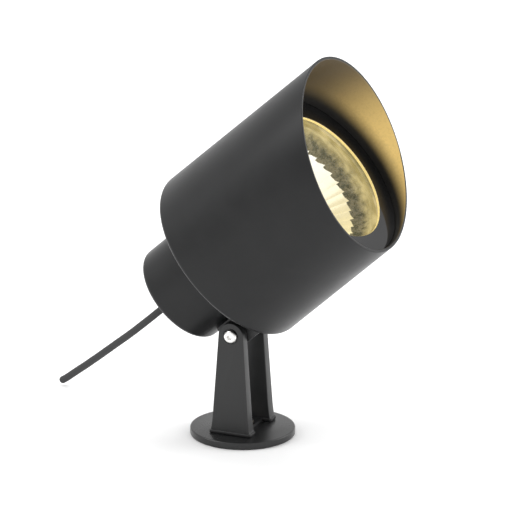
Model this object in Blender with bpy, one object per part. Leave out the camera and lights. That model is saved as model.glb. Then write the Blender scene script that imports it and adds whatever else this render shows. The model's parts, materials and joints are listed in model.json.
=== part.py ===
"""Garden spotlight: a round lamp head with a sloping hood, tilting in a fork on a round foot.

Metres, +Z up. The origin is the centre of the foot's underside. The lamp shines towards
+X, the tilt axis runs along Y, and the fork swivels about Z. Pieces that touch keep FIT.
"""

import math

import bmesh
import bpy
from mathutils import Vector

MM = 0.001
FIT = 0.3 * MM

# Foot
FOOT_RADIUS = 35.5 * MM
FOOT_THICK = 5.0 * MM
FOOT_EDGE = 0.9 * MM
SPIGOT_RADIUS = 5.0 * MM
STAKE_HOLES = 3
STAKE_HOLE_RADIUS = 1.65 * MM
STAKE_HOLE_CIRCLE = 25.0 * MM
STAKE_HOLE_DEPTH = 3.2 * MM

# Fork
HINGE_HEIGHT = 75.3 * MM
FORK_GAP = 26.6 * MM
PLATE_THICK = 2.3 * MM
PAD_REACH = 0.8 * MM
PAD_CORNER = 2.0 * MM
BRIDGE_CORNER = 0.5 * MM
BRIDGE_HALF = 9.0 * MM
LEG_FOOT_HALF = 13.7 * MM
LEG_FOOT_THICK = 8.2 * MM
LEG_EAR_THICK = 7.0 * MM
LEG_EDGE = 1.8 * MM
LEG_SINK = 0.4 * MM
EAR_RADIUS = 9.0 * MM
FLARE_OUT = 0.8 * MM
FLARE_HEIGHT = 11.0 * MM

# Swivel screw, M5
PAN_SCREW_RADIUS = 2.5 * MM
PAN_HEAD_RADIUS = 4.75 * MM
PAN_HEAD_HEIGHT = 2.75 * MM
PAN_WASHER_RADIUS = 7.5 * MM
PAN_WASHER_THICK = 1.0 * MM
PAN_THREAD_FLOOR = 1.4 * MM

# Tilt bolt, M5
BOLT_RADIUS = 2.5 * MM
BOLT_HEAD_RADIUS = 4.75 * MM
BOLT_HEAD_HEIGHT = 2.75 * MM
BOLT_RECESS = 0.9 * MM
BOLT_RECESS_RIM = 0.6 * MM
BOLT_END = 1.5 * MM
SOCKET_RADIUS = 2.2 * MM
SOCKET_INNER_SHARE = 0.72
NUT_RADIUS = 4.62 * MM
NUT_HEIGHT = 4.0 * MM
NUT_COLLAR = 1.2 * MM
NUT_COLLAR_SHARE = 0.82
NUT_WASHER_RADIUS = 5.0 * MM
NUT_WASHER_THICK = 1.0 * MM
FRICTION_WASHER_RADIUS = 8.0 * MM
FRICTION_WASHER_THICK = 0.8 * MM

# Head, measured from the rear face of the lamp housing along its centre line
REST_TILT = math.radians(42.5)
HINGE_DROP = 43.7 * MM
HINGE_BACK = 26.1 * MM
BODY_RADIUS = 64.5 * MM
BODY_WALL = 2.0 * MM
BODY_BACK_WALL = 3.0 * MM
BODY_EDGE = 3.0 * MM
BODY_BACK_HOLE = 24.0 * MM
HOOD_MEAN_LENGTH = 125.0 * MM
HOOD_SLOPE = 0.35
NECK_RADIUS = 35.5 * MM
NECK_LENGTH = 48.8 * MM
NECK_WALL = 2.5 * MM
NECK_BACK_WALL = 3.0 * MM
NECK_EDGE = 3.3 * MM
NECK_RING_WIDTH = 9.0 * MM
NECK_RING_DEPTH = 8.0 * MM
SEAL_INSET = 2.0 * MM
SEAL_SECTION = 0.6 * MM
LUG_RADIUS = 10.0 * MM
LUG_SADDLE_DEPTH = 6.0 * MM

# Optics, as heights ahead of the rear face
BEZEL_FRONT = 98.0 * MM
BEZEL_THICK = 2.1 * MM
BEZEL_BORE = 47.8 * MM
BEZEL_CHAMFER = 0.6 * MM
LENS_THICK = 4.0 * MM
LENS_INSET = 1.2 * MM
GASKET_THICK = 1.7 * MM
GASKET_WIDTH = 6.3 * MM
RIM_THICK = 1.0 * MM
REFLECTOR_MOUTH = 50.0 * MM
REFLECTOR_FOCUS = 14.0 * MM
REFLECTOR_THROAT = 16.0 * MM
REFLECTOR_WALL = 1.0 * MM
SEAT_HEIGHT = 9.0 * MM
SEAT_LEDGE = 6.7 * MM
SEAT_THICK = 2.0 * MM

# Light engine
SINK_FRONT = 40.0 * MM
SINK_PLATE = 6.0 * MM
SINK_HALF = 35.0 * MM
SINK_FINS = 9
SINK_FIN_THICK = 2.4 * MM
SINK_FIN_INSET = 1.0 * MM
SINK_FIN_HALF = 25.0 * MM
SINK_FIN_LENGTH = 27.0 * MM
LED_BOARD_RADIUS = 19.0 * MM
LED_BOARD_THICK = 1.6 * MM
LED_RADIUS = 9.0 * MM
LED_DOME = 2.4 * MM
HOLDER_RADIUS = 17.0 * MM
HOLDER_THICK = 1.8 * MM
LED_SCREW_CIRCLE = 13.0 * MM
LED_SCREW_REACH = 5.0 * MM
LED_STEP = 0.5 * MM
POST_X = 29.0 * MM
POST_Y = 30.5 * MM
POST_RADIUS = 3.4 * MM

# Small screws, and the shape of every button head as shares of its height and radius
HEAD_RIM = 0.28
HEAD_CROWN = 0.45
SHANK_LEAD = 0.25
SOCKET_SHARE = 0.62
M3_RADIUS = 1.5 * MM
M3_HEAD_RADIUS = 2.5 * MM
M3_HEAD_HEIGHT = 1.6 * MM
M3_SOCKET_RADIUS = 1.2 * MM
M4_RADIUS = 2.0 * MM
M4_HEAD_RADIUS = 3.6 * MM
M4_HEAD_HEIGHT = 2.2 * MM
M4_SOCKET_RADIUS = 1.6 * MM
THREAD_REACH = 6.5 * MM
NECK_SCREWS = 3
LUG_SCREW_SPREAD = 6.0 * MM

# Driver and cable entry
DRIVER_LENGTH = 27.0 * MM
DRIVER_CLEARANCE = 1.2 * MM
DRIVER_CORNER = math.radians(60.4)
DRIVER_EDGE = 1.5 * MM
DRIVER_FRONT = -4.0 * MM
TERMINAL_SIZE = (9.0 * MM, 18.0 * MM, 8.0 * MM)
TERMINAL_SIDE = 12.0 * MM
TERMINAL_EDGE = 0.8 * MM
GLAND_RADIUS = 6.0 * MM
GLAND_BORE = 4.2 * MM
GLAND_FLANGE_RADIUS = 8.6 * MM
GLAND_FLANGE_THICK = 2.6 * MM
GLAND_SPIGOT_RADIUS = 5.4 * MM
GLAND_NUT_RADIUS = 8.0 * MM
GLAND_NUT_HEX = 5.0 * MM
GLAND_NUT_DOME = 4.0 * MM
LOCK_NUT_THICK = 2.8 * MM
SEAL_TAIL = 2.6 * MM
CABLE_RADIUS = 2.5 * MM
LEAD_RADIUS = 1.2 * MM
LEAD_START = 17.0 * MM

# The free cable, from the gland to its bare end on the ground
CABLE_ROUTE = (
    (-0.0577, 0.0000, 0.0817),
    (-0.0625, 0.0003, 0.0773),
    (-0.0672, 0.0014, 0.0730),
    (-0.0720, 0.0032, 0.0687),
    (-0.0773, 0.0055, 0.0640),
    (-0.0832, 0.0083, 0.0588),
    (-0.0895, 0.0113, 0.0534),
    (-0.0960, 0.0143, 0.0480),
    (-0.1026, 0.0173, 0.0425),
    (-0.1092, 0.0203, 0.0370),
    (-0.1158, 0.0234, 0.0315),
    (-0.1224, 0.0265, 0.0261),
    (-0.1290, 0.0296, 0.0207),
    (-0.1356, 0.0327, 0.0155),
    (-0.1422, 0.0357, 0.0102),
    (-0.1475, 0.0381, 0.0060),
    (-0.1520, 0.0402, 0.0029),
)

# Facets of round pieces
WIDE = 64
BROAD = 48
MIDDLE = 32
ROUND = 20
SMALL = 16
TINY = 10

# Heights worked out from the sizes above
PLATE_BOTTOM = FOOT_THICK + FIT
PLATE_TOP = PLATE_BOTTOM + PLATE_THICK
EAR_OUTSIDE = FORK_GAP / 2 + LEG_EAR_THICK
BODY_BORE = BODY_RADIUS - BODY_WALL
INSIDE_RADIUS = BODY_BORE - FIT
LENS_FRONT = BEZEL_FRONT - BEZEL_THICK - FIT
LENS_BACK = LENS_FRONT - LENS_THICK
LENS_RADIUS = INSIDE_RADIUS - LENS_INSET
GASKET_FRONT = LENS_BACK - FIT
RIM_FRONT = GASKET_FRONT - GASKET_THICK - FIT
RIM_BACK = RIM_FRONT - RIM_THICK
SEAT_FRONT = RIM_BACK - FIT
SINK_BACK = SINK_FRONT - SINK_PLATE
BOARD_BACK = SINK_FRONT + FIT
BOARD_FRONT = BOARD_BACK + LED_BOARD_THICK
HOLDER_BACK = BOARD_FRONT + FIT
HOLDER_FRONT = HOLDER_BACK + HOLDER_THICK
NECK_FRONT = -FIT
NECK_BACK = -NECK_LENGTH
NECK_SCREW_CIRCLE = NECK_RADIUS - 5.6 * MM
DRIVER_REACH = NECK_RADIUS - NECK_RING_WIDTH - DRIVER_CLEARANCE
DRIVER_SIZE = (
    2 * DRIVER_REACH * math.cos(DRIVER_CORNER), 2 * DRIVER_REACH * math.sin(DRIVER_CORNER), DRIVER_LENGTH,
)
GLAND_FLANGE_FRONT = NECK_BACK - FIT
GLAND_FLANGE_BACK = GLAND_FLANGE_FRONT - GLAND_FLANGE_THICK
GLAND_NUT_FRONT = GLAND_FLANGE_BACK - FIT
GLAND_NUT_BACK = GLAND_NUT_FRONT - GLAND_NUT_HEX - GLAND_NUT_DOME
LUG_HALF = FORK_GAP / 2 - FRICTION_WASHER_THICK - 2 * FIT


def clear_scene():
    for obj in list(bpy.data.objects):
        bpy.data.objects.remove(obj, do_unlink=True)


def material(name, colour, roughness, metallic):
    """A Principled material of one colour."""
    found = bpy.data.materials.get(name)
    if found:
        return found
    made = bpy.data.materials.new(name)
    made.use_nodes = True
    shader = made.node_tree.nodes["Principled BSDF"]
    shader.inputs["Base Color"].default_value = (*colour, 1.0)
    shader.inputs["Roughness"].default_value = roughness
    shader.inputs["Metallic"].default_value = metallic
    made.diffuse_color = (*colour, 1.0)
    return made


def powder_coat():
    return material("powder_coat", (0.045, 0.046, 0.048), 0.5, 0.0)


def stainless():
    return material("stainless", (0.62, 0.60, 0.56), 0.3, 1.0)


def bare_aluminium():
    return material("bare_aluminium", (0.70, 0.70, 0.72), 0.4, 1.0)


def mirror_aluminium():
    return material("mirror_aluminium", (0.90, 0.86, 0.74), 0.15, 1.0)


def black_rubber():
    return material("black_rubber", (0.03, 0.03, 0.03), 0.8, 0.0)


def silicone():
    return material("silicone", (0.86, 0.80, 0.62), 0.5, 0.0)


def black_plastic():
    return material("black_plastic", (0.035, 0.035, 0.038), 0.5, 0.0)


def white_plastic():
    return material("white_plastic", (0.85, 0.85, 0.82), 0.45, 0.0)


def nylon():
    return material("nylon", (0.72, 0.70, 0.64), 0.5, 0.0)


def clear_glass():
    return material("clear_glass", (0.95, 0.98, 0.96), 0.02, 0.0)


def warm_light():
    return material("warm_light", (1.0, 0.86, 0.52), 0.4, 0.0)


def empty(name, parent=None, location=(0, 0, 0), rotation=(0, 0, 0)):
    made = bpy.data.objects.new(name, None)
    made.empty_display_size = 20 * MM
    made.parent = parent
    made.location = location
    made.rotation_euler = rotation
    bpy.context.collection.objects.link(made)
    return made


def place(name, bm, parent, finish, location=(0, 0, 0), rotation=(0, 0, 0)):
    """Turns the bmesh into a smooth-shaded object with its finish."""
    bmesh.ops.recalc_face_normals(bm, faces=bm.faces)
    mesh = bpy.data.meshes.new(name)
    bm.to_mesh(mesh)
    bm.free()
    mesh.shade_smooth()
    mesh.set_sharp_from_angle(angle=math.radians(35))
    mesh.materials.append(finish)
    made = bpy.data.objects.new(name, mesh)
    made.parent = parent
    made.location = location
    made.rotation_euler = rotation
    bpy.context.collection.objects.link(made)
    return made


def arc(centre_r, centre_z, radius, start, end, steps=2):
    """Points on a round corner, angles in degrees from +r towards +z."""
    turns = [math.radians(start + (end - start) * i / steps) for i in range(steps + 1)]
    return [(centre_r + radius * math.cos(a), centre_z + radius * math.sin(a)) for a in turns]


def spin(profile, facets):
    """A bmesh turned about Z from (radius, height) points; a ring unless both ends are on the axis."""
    bm = bmesh.new()
    points = [bm.verts.new((r, 0, z)) for r, z in profile]
    ring = profile[0][0] > 0 or profile[-1][0] > 0
    pairs = list(zip(points, points[1:] + points[:1] if ring else points[1:]))
    edges = [bm.edges.new(pair) for pair in pairs]
    bmesh.ops.spin(
        bm, geom=points + edges, cent=(0, 0, 0), axis=(0, 0, 1), angle=2 * math.pi,
        steps=facets, use_merge=True,
    )
    bmesh.ops.remove_doubles(bm, verts=bm.verts, dist=1e-6)
    return bm


def turned(name, profile, parent, finish, facets=MIDDLE, **at):
    return place(name, spin(profile, facets), parent, finish, **at)


def ring_profile(inner, outer, low, high):
    return [(inner, low), (outer, low), (outer, high), (inner, high)]


def rod_profile(radius, low, high):
    return [(0, low), (radius, low), (radius, high), (0, high)]


def prism(outline, low, high):
    """A bmesh of an (x, y) outline, extruded along Z."""
    bm = bmesh.new()
    face = bm.faces.new([bm.verts.new((x, y, low)) for x, y in outline])
    raised = bmesh.ops.extrude_face_region(bm, geom=[face])["geom"]
    lifted = [v for v in raised if isinstance(v, bmesh.types.BMVert)]
    bmesh.ops.translate(bm, verts=lifted, vec=(0, 0, high - low))
    return bm


def polygon(radius, sides, turn=0.0):
    angles = [turn + 2 * math.pi * i / sides for i in range(sides)]
    return [(radius * math.cos(a), radius * math.sin(a)) for a in angles]


def lobed(radius, inner, lobes):
    """The corners of a star with this many points."""
    corners = []
    for i in range(2 * lobes):
        turn = math.pi * i / lobes
        out = radius if i % 2 == 0 else inner
        corners.append((out * math.cos(turn), out * math.sin(turn)))
    return corners


def rounded_block(low_x, high_x, low_y, high_y, corner):
    """A rectangle's (x, y) outline with round corners."""
    outline = []
    for x, y, start in (
        (high_x - corner, high_y - corner, 0), (low_x + corner, high_y - corner, 90),
        (low_x + corner, low_y + corner, 180), (high_x - corner, low_y + corner, 270),
    ):
        outline += arc(x, y, corner, start, start + 90)
    return outline


def block(name, size, parent, finish, edge, **at):
    """A box centred on its place, with rounded edges."""
    bm = bmesh.new()
    bmesh.ops.create_cube(bm, size=1.0)
    bmesh.ops.scale(bm, verts=bm.verts, vec=size)
    made = place(name, bm, parent, finish, **at)
    round_edges(made, edge, 2)
    return made


def round_edges(obj, width, segments):
    bevel = obj.modifiers.new("edges", "BEVEL")
    bevel.width = width
    bevel.segments = segments
    bevel.limit_method = "ANGLE"
    bevel.angle_limit = math.radians(40)


def helper(obj):
    """Hides an object that only shapes another one."""
    obj.hide_render = True
    obj.display_type = "WIRE"
    return obj


def combine(obj, tool, operation="DIFFERENCE"):
    boolean = obj.modifiers.new(tool.name, "BOOLEAN")
    boolean.operation = operation
    boolean.solver = "EXACT"
    boolean.object = helper(tool)


def drill(obj, name, radius, low, high, spots, parent, facets=TINY, rotation=(0, 0, 0)):
    """Cuts a round hole from low to high at each (x, y) spot."""
    for i, (x, y) in enumerate(spots):
        tool = turned(
            f"{name}_{i + 1}", rod_profile(radius, low, high), parent, powder_coat(),
            facets, location=(x, y, 0), rotation=rotation,
        )
        combine(obj, tool)


def button_head(radius, height, shank_radius, shank_end, seat, steps):
    """Profile of a button-head screw: its seat at z = seat, its head above, its shank below."""
    edge = height * HEAD_RIM
    dome = []
    for i in range(1, steps + 1):
        turn = math.pi / 2 * i / steps
        out = radius * (1 - HEAD_CROWN * (1 - math.cos(turn)))
        dome.append((out, seat + edge + (height - edge) * math.sin(turn)))
    lead = shank_radius * SHANK_LEAD
    shank = [(0, shank_end), (shank_radius - lead, shank_end), (shank_radius, shank_end + lead)]
    return shank + [(shank_radius, seat), (radius, seat), (radius, seat + edge)] + dome + [(0, seat + height)]


def socket_screw(name, head_radius, head_height, radius, end, seat, socket, parent, finish, **at):
    """A button-head screw with a six-lobed socket."""
    large = head_radius > M4_HEAD_RADIUS
    profile = button_head(head_radius, head_height, radius, end, seat, 4 if large else 2)
    screw = turned(name, profile, parent, finish, MIDDLE if large else TINY, **at)
    top = seat + head_height
    tool = place(
        name + "_socket",
        prism(lobed(socket, socket * SOCKET_INNER_SHARE, 6), top - head_height * SOCKET_SHARE, top + MM),
        parent, finish, **at,
    )
    combine(screw, tool)
    return screw


def build_foot(base):
    """The round foot, with the spigot that the fork swivels on."""
    edge = FOOT_EDGE
    spigot_top = PLATE_TOP - FIT
    profile = [(0, 0)]
    profile += arc(FOOT_RADIUS - edge, edge, edge, -90, 0)
    profile += arc(FOOT_RADIUS - edge, FOOT_THICK - edge, edge, 0, 90)
    profile += [(SPIGOT_RADIUS, FOOT_THICK), (SPIGOT_RADIUS, spigot_top)]
    profile += [(PAN_SCREW_RADIUS + FIT, spigot_top), (PAN_SCREW_RADIUS + FIT, PAN_THREAD_FLOOR)]
    profile += [(0, PAN_THREAD_FLOOR)]
    foot = turned("base_disc", profile, base, powder_coat(), WIDE)
    spots = polygon(STAKE_HOLE_CIRCLE, STAKE_HOLES, math.pi / 2)
    drill(foot, "stake_hole", STAKE_HOLE_RADIUS, -MM, STAKE_HOLE_DEPTH, spots, base)


def build_pan_screw(base):
    washer_low = PLATE_TOP + FIT
    washer_high = washer_low + PAN_WASHER_THICK
    turned(
        "pan_washer", ring_profile(PAN_SCREW_RADIUS + FIT, PAN_WASHER_RADIUS, washer_low, washer_high),
        base, stainless(), ROUND,
    )
    socket_screw(
        "pan_screw", PAN_HEAD_RADIUS, PAN_HEAD_HEIGHT, PAN_SCREW_RADIUS, PAN_THREAD_FLOOR + FIT,
        washer_high + FIT, SOCKET_RADIUS, base, stainless(),
    )


def leg_outline():
    """The leg's (x, z) outline: flared foot, straight sides tangent to the round ear."""
    foot_z = PLATE_BOTTOM + LEG_SINK
    reach = math.hypot(LEG_FOOT_HALF, HINGE_HEIGHT - foot_z)
    tangent = math.atan2(foot_z - HINGE_HEIGHT, LEG_FOOT_HALF) + math.acos(EAR_RADIUS / reach)
    touch_x = EAR_RADIUS * math.cos(tangent)
    touch_z = HINGE_HEIGHT + EAR_RADIUS * math.sin(tangent)
    slope = (LEG_FOOT_HALF - touch_x) / (touch_z - foot_z)
    side = []
    steps = 4
    for i in range(steps + 1):
        turn = math.pi / 2 * i / steps
        z = PLATE_TOP + FLARE_HEIGHT * (1 - math.cos(turn))
        side.append((LEG_FOOT_HALF - slope * (z - foot_z) + FLARE_OUT * (1 - math.sin(turn)), z))
    side.insert(0, (side[0][0], foot_z))
    top_steps = 14
    ear = []
    for i in range(top_steps + 1):
        turn = tangent + (math.pi - 2 * tangent) * i / top_steps
        ear.append((EAR_RADIUS * math.cos(turn), HINGE_HEIGHT + EAR_RADIUS * math.sin(turn)))
    return side + ear + [(-x, z) for x, z in reversed(side)]


def leg_thickness(z):
    rise = (z - PLATE_TOP) / (HINGE_HEIGHT - PLATE_TOP)
    return LEG_FOOT_THICK + (LEG_EAR_THICK - LEG_FOOT_THICK) * rise


def build_leg(name, side, fork):
    """One leg of the fork on the -Y (-1) or +Y (+1) side, thinner towards its ear."""
    bm = bmesh.new()
    outline = leg_outline()
    inner = [bm.verts.new((x, side * FORK_GAP / 2, z)) for x, z in outline]
    outer = [bm.verts.new((x, side * (FORK_GAP / 2 + leg_thickness(z)), z)) for x, z in outline]
    bm.faces.new(inner)
    bm.faces.new(outer)
    for i in range(len(outline)):
        j = (i + 1) % len(outline)
        bm.faces.new((inner[i], inner[j], outer[j], outer[i]))
    leg = place(name, bm, fork, powder_coat())
    round_edges(leg, LEG_EDGE, 2)
    return leg


def build_fork(fork):
    """The fork: two legs on pads that a bridge joins, bored for the tilt bolt and the spigot."""
    half_x = LEG_FOOT_HALF + FLARE_OUT + PAD_REACH
    inner_y = FORK_GAP / 2 - PAD_REACH
    outer_y = FORK_GAP / 2 + LEG_FOOT_THICK + PAD_REACH
    bridge = rounded_block(-BRIDGE_HALF, BRIDGE_HALF, -inner_y - MM, inner_y + MM, BRIDGE_CORNER)
    yoke = place("fork_bracket", prism(bridge, PLATE_BOTTOM, PLATE_TOP), fork, powder_coat())
    for name, low_y, high_y in (("near_pad", -outer_y, -inner_y), ("far_pad", inner_y, outer_y)):
        outline = rounded_block(-half_x, half_x, low_y, high_y, PAD_CORNER)
        pad = place(name, prism(outline, PLATE_BOTTOM, PLATE_TOP), fork, powder_coat())
        combine(yoke, pad, "UNION")
    combine(yoke, build_leg("near_leg", -1, fork), "UNION")
    combine(yoke, build_leg("far_leg", 1, fork), "UNION")
    drill(yoke, "swivel_bore", SPIGOT_RADIUS + FIT, 0, PLATE_TOP + MM, [(0, 0)], fork, ROUND)
    reach = EAR_OUTSIDE + 5 * MM
    bore = turned(
        "tilt_bore", rod_profile(BOLT_RADIUS + FIT, -reach, reach), fork, powder_coat(), ROUND,
        location=(0, 0, HINGE_HEIGHT), rotation=(math.pi / 2, 0, 0),
    )
    combine(yoke, bore)
    recess = turned(
        "bolt_recess", rod_profile(BOLT_HEAD_RADIUS + BOLT_RECESS_RIM, EAR_OUTSIDE - BOLT_RECESS, reach),
        fork, powder_coat(), ROUND, location=(0, 0, HINGE_HEIGHT), rotation=(math.pi / 2, 0, 0),
    )
    combine(yoke, recess)


def locking_nut(name, radius, bore, low, high, collar_high, parent, finish, **at):
    """A hexagon nut with the round collar of its nylon insert, bored through."""
    nut = place(name, prism(polygon(radius, 6), low, high), parent, finish, **at)
    collar = rod_profile(radius * NUT_COLLAR_SHARE, high - 0.5 * MM, collar_high)
    combine(nut, turned(name + "_collar", collar, parent, finish, ROUND, **at), "UNION")
    hole = rod_profile(bore, low - MM, collar_high + MM)
    combine(nut, turned(name + "_bore", hole, parent, finish, ROUND, **at))


def build_tilt_bolt(fork):
    """The bolt across the fork, its washer and its locking nut, all along -Y and +Y."""
    seat = EAR_OUTSIDE - BOLT_RECESS + FIT
    washer_low = EAR_OUTSIDE + FIT
    washer_high = washer_low + NUT_WASHER_THICK
    nut_low = washer_high + FIT
    nut_high = nut_low + NUT_HEIGHT
    bolt_end = nut_high + NUT_COLLAR + BOLT_END
    near = {"location": (0, 0, HINGE_HEIGHT), "rotation": (math.pi / 2, 0, 0)}
    far = {"location": (0, 0, HINGE_HEIGHT), "rotation": (-math.pi / 2, 0, 0)}
    socket_screw(
        "tilt_bolt", BOLT_HEAD_RADIUS, BOLT_HEAD_HEIGHT, BOLT_RADIUS, -bolt_end, seat,
        SOCKET_RADIUS, fork, stainless(), **near,
    )
    turned(
        "tilt_nut_washer", ring_profile(BOLT_RADIUS + FIT, NUT_WASHER_RADIUS, washer_low, washer_high),
        fork, stainless(), ROUND, **far,
    )
    locking_nut(
        "tilt_nut", NUT_RADIUS, BOLT_RADIUS + FIT, nut_low, nut_high, nut_high + NUT_COLLAR,
        fork, stainless(), **far,
    )


def build_lug(pivot):
    """The lug between the ears: round about the bolt, saddled to the neck, flat on the housing."""
    front = HINGE_BACK - FIT
    top = -(HINGE_DROP - NECK_RADIUS) - LUG_SADDLE_DEPTH
    steps = 10
    outline = [(top, front), (LUG_RADIUS, front)]
    for i in range(steps + 1):
        turn = math.pi / 2 * i / steps
        outline.append((LUG_RADIUS * math.cos(turn), -LUG_RADIUS * math.sin(turn)))
    outline.append((top, -LUG_RADIUS))
    # The outline lies in the head's own X-Z plane, so the prism's X, Y, Z become X, Z, -Y.
    lug = place(
        "tilt_lug", prism(outline, -LUG_HALF, LUG_HALF), pivot, powder_coat(),
        rotation=(math.pi / 2, 0, 0),
    )
    bore = turned(
        "lug_bore", rod_profile(BOLT_RADIUS + FIT, -LUG_HALF - MM, LUG_HALF + MM), pivot,
        powder_coat(), ROUND, rotation=(math.pi / 2, 0, 0),
    )
    combine(lug, bore)
    saddle = turned(
        "lug_saddle", rod_profile(NECK_RADIUS + FIT, -3 * LUG_RADIUS, 4 * LUG_RADIUS), pivot,
        powder_coat(), WIDE, location=(-HINGE_DROP, 0, 0),
    )
    combine(lug, saddle)
    spots = [(0, -LUG_SCREW_SPREAD), (0, LUG_SCREW_SPREAD)]
    drill(lug, "lug_thread", M4_RADIUS + FIT, front - THREAD_REACH - FIT, front + MM, spots, pivot)
    for side, name in ((1, "far"), (-1, "near")):
        low = side * (LUG_HALF + FIT)
        high = low + side * FRICTION_WASHER_THICK
        turned(
            "friction_washer_" + name,
            ring_profile(BOLT_RADIUS + FIT, FRICTION_WASHER_RADIUS, min(low, high), max(low, high)),
            pivot, nylon(), ROUND, rotation=(-math.pi / 2, 0, 0),
        )


def neck_screw_spots():
    return polygon(NECK_SCREW_CIRCLE, NECK_SCREWS, math.pi / 3)


def lug_screw_spots():
    return [(HINGE_DROP, -LUG_SCREW_SPREAD), (HINGE_DROP, LUG_SCREW_SPREAD)]


def post_spots():
    return [(x, y) for x in (-POST_X, POST_X) for y in (-POST_Y, POST_Y)]


def build_housing(head):
    """The lamp housing and hood in one shell, cut off at a slope that leaves the top longest."""
    beyond = HOOD_MEAN_LENGTH + (HOOD_SLOPE + 0.1) * BODY_RADIUS
    profile = [(BODY_BACK_HOLE, 0)]
    profile += arc(BODY_RADIUS - BODY_EDGE, BODY_EDGE, BODY_EDGE, -90, 0)
    profile += [(BODY_RADIUS, beyond), (BODY_BORE, beyond)]
    profile += [(BODY_BORE, BODY_BACK_WALL), (BODY_BACK_HOLE, BODY_BACK_WALL)]
    bm = spin(profile, WIDE)
    bmesh.ops.bisect_plane(
        bm, geom=bm.verts[:] + bm.edges[:] + bm.faces[:], plane_co=(0, 0, HOOD_MEAN_LENGTH),
        plane_no=Vector((HOOD_SLOPE, 0, 1)).normalized(), clear_outer=True,
    )
    bmesh.ops.bridge_loops(bm, edges=[e for e in bm.edges if e.is_boundary])
    housing = place("lamp_housing", bm, head, powder_coat())
    through = (-MM, BODY_BACK_WALL + MM)
    drill(housing, "neck_screw_hole", M3_RADIUS + FIT, *through, neck_screw_spots(), head)
    drill(housing, "lug_screw_hole", M4_RADIUS + FIT, *through, lug_screw_spots(), head)
    drill(housing, "post_hole", M4_RADIUS + FIT, *through, post_spots(), head)


def build_neck(head):
    """The cup behind the housing that holds the driver, its seal and its screws."""
    bore = NECK_RADIUS - NECK_WALL
    ring_bore = NECK_RADIUS - NECK_RING_WIDTH
    groove = NECK_RADIUS - SEAL_INSET
    half_groove = SEAL_SECTION + FIT
    floor = NECK_FRONT - 2 * half_groove
    ring_back = NECK_FRONT - NECK_RING_DEPTH
    profile = [(GLAND_RADIUS + FIT, NECK_BACK), (NECK_RADIUS - NECK_EDGE, NECK_BACK)]
    profile += arc(NECK_RADIUS - NECK_EDGE, NECK_BACK + NECK_EDGE, NECK_EDGE, -90, 0)[1:]
    profile += [(NECK_RADIUS, NECK_FRONT), (groove + half_groove, NECK_FRONT)]
    profile += [(groove + half_groove, floor), (groove - half_groove, floor)]
    profile += [(groove - half_groove, NECK_FRONT), (ring_bore, NECK_FRONT)]
    profile += [(ring_bore, ring_back), (bore, ring_back)]
    profile += [(bore, NECK_BACK + NECK_BACK_WALL), (GLAND_RADIUS + FIT, NECK_BACK + NECK_BACK_WALL)]
    neck = turned("neck_housing", profile, head, powder_coat(), BROAD)
    drill(
        neck, "neck_thread", M3_RADIUS + FIT, NECK_FRONT - THREAD_REACH - FIT, MM, neck_screw_spots(), head
    )
    turned(
        "neck_seal", arc(groove, NECK_FRONT - half_groove, SEAL_SECTION, 0, 288, 4), head,
        black_rubber(), MIDDLE,
    )
    for i, (x, y) in enumerate(neck_screw_spots()):
        socket_screw(
            f"neck_screw_{i + 1}", M3_HEAD_RADIUS, M3_HEAD_HEIGHT, M3_RADIUS, NECK_FRONT - THREAD_REACH,
            BODY_BACK_WALL + FIT, M3_SOCKET_RADIUS, head, stainless(), location=(x, y, 0),
        )
    for i, (x, y) in enumerate(lug_screw_spots()):
        socket_screw(
            f"lug_screw_{i + 1}", M4_HEAD_RADIUS, M4_HEAD_HEIGHT, M4_RADIUS, NECK_FRONT - THREAD_REACH,
            BODY_BACK_WALL + FIT, M4_SOCKET_RADIUS, head, stainless(), location=(x, y, 0),
        )


def parabola(radius, front):
    """Height of the reflector's inner face at this radius, its mouth being at front."""
    return front - (REFLECTOR_MOUTH**2 - radius**2) / (4 * REFLECTOR_FOCUS)


def build_reflector(head):
    """A thin parabolic bowl with a flat rim that the gasket presses on."""
    steps = 5
    radii = [REFLECTOR_MOUTH + (REFLECTOR_THROAT - REFLECTOR_MOUTH) * i / steps for i in range(steps + 1)]
    inner = [(r, parabola(r, RIM_FRONT)) for r in radii]
    outer = []
    for r, z in inner:
        lean = math.atan(r / (2 * REFLECTOR_FOCUS))
        outer.append((r + REFLECTOR_WALL * math.sin(lean), z - REFLECTOR_WALL * math.cos(lean)))
    rim = LENS_RADIUS - LENS_INSET
    outer[0] = (outer[0][0], RIM_BACK)
    profile = [(rim, RIM_FRONT)] + inner + outer[::-1] + [(rim, RIM_BACK)]
    turned("reflector", profile, head, mirror_aluminium(), MIDDLE)


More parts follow.
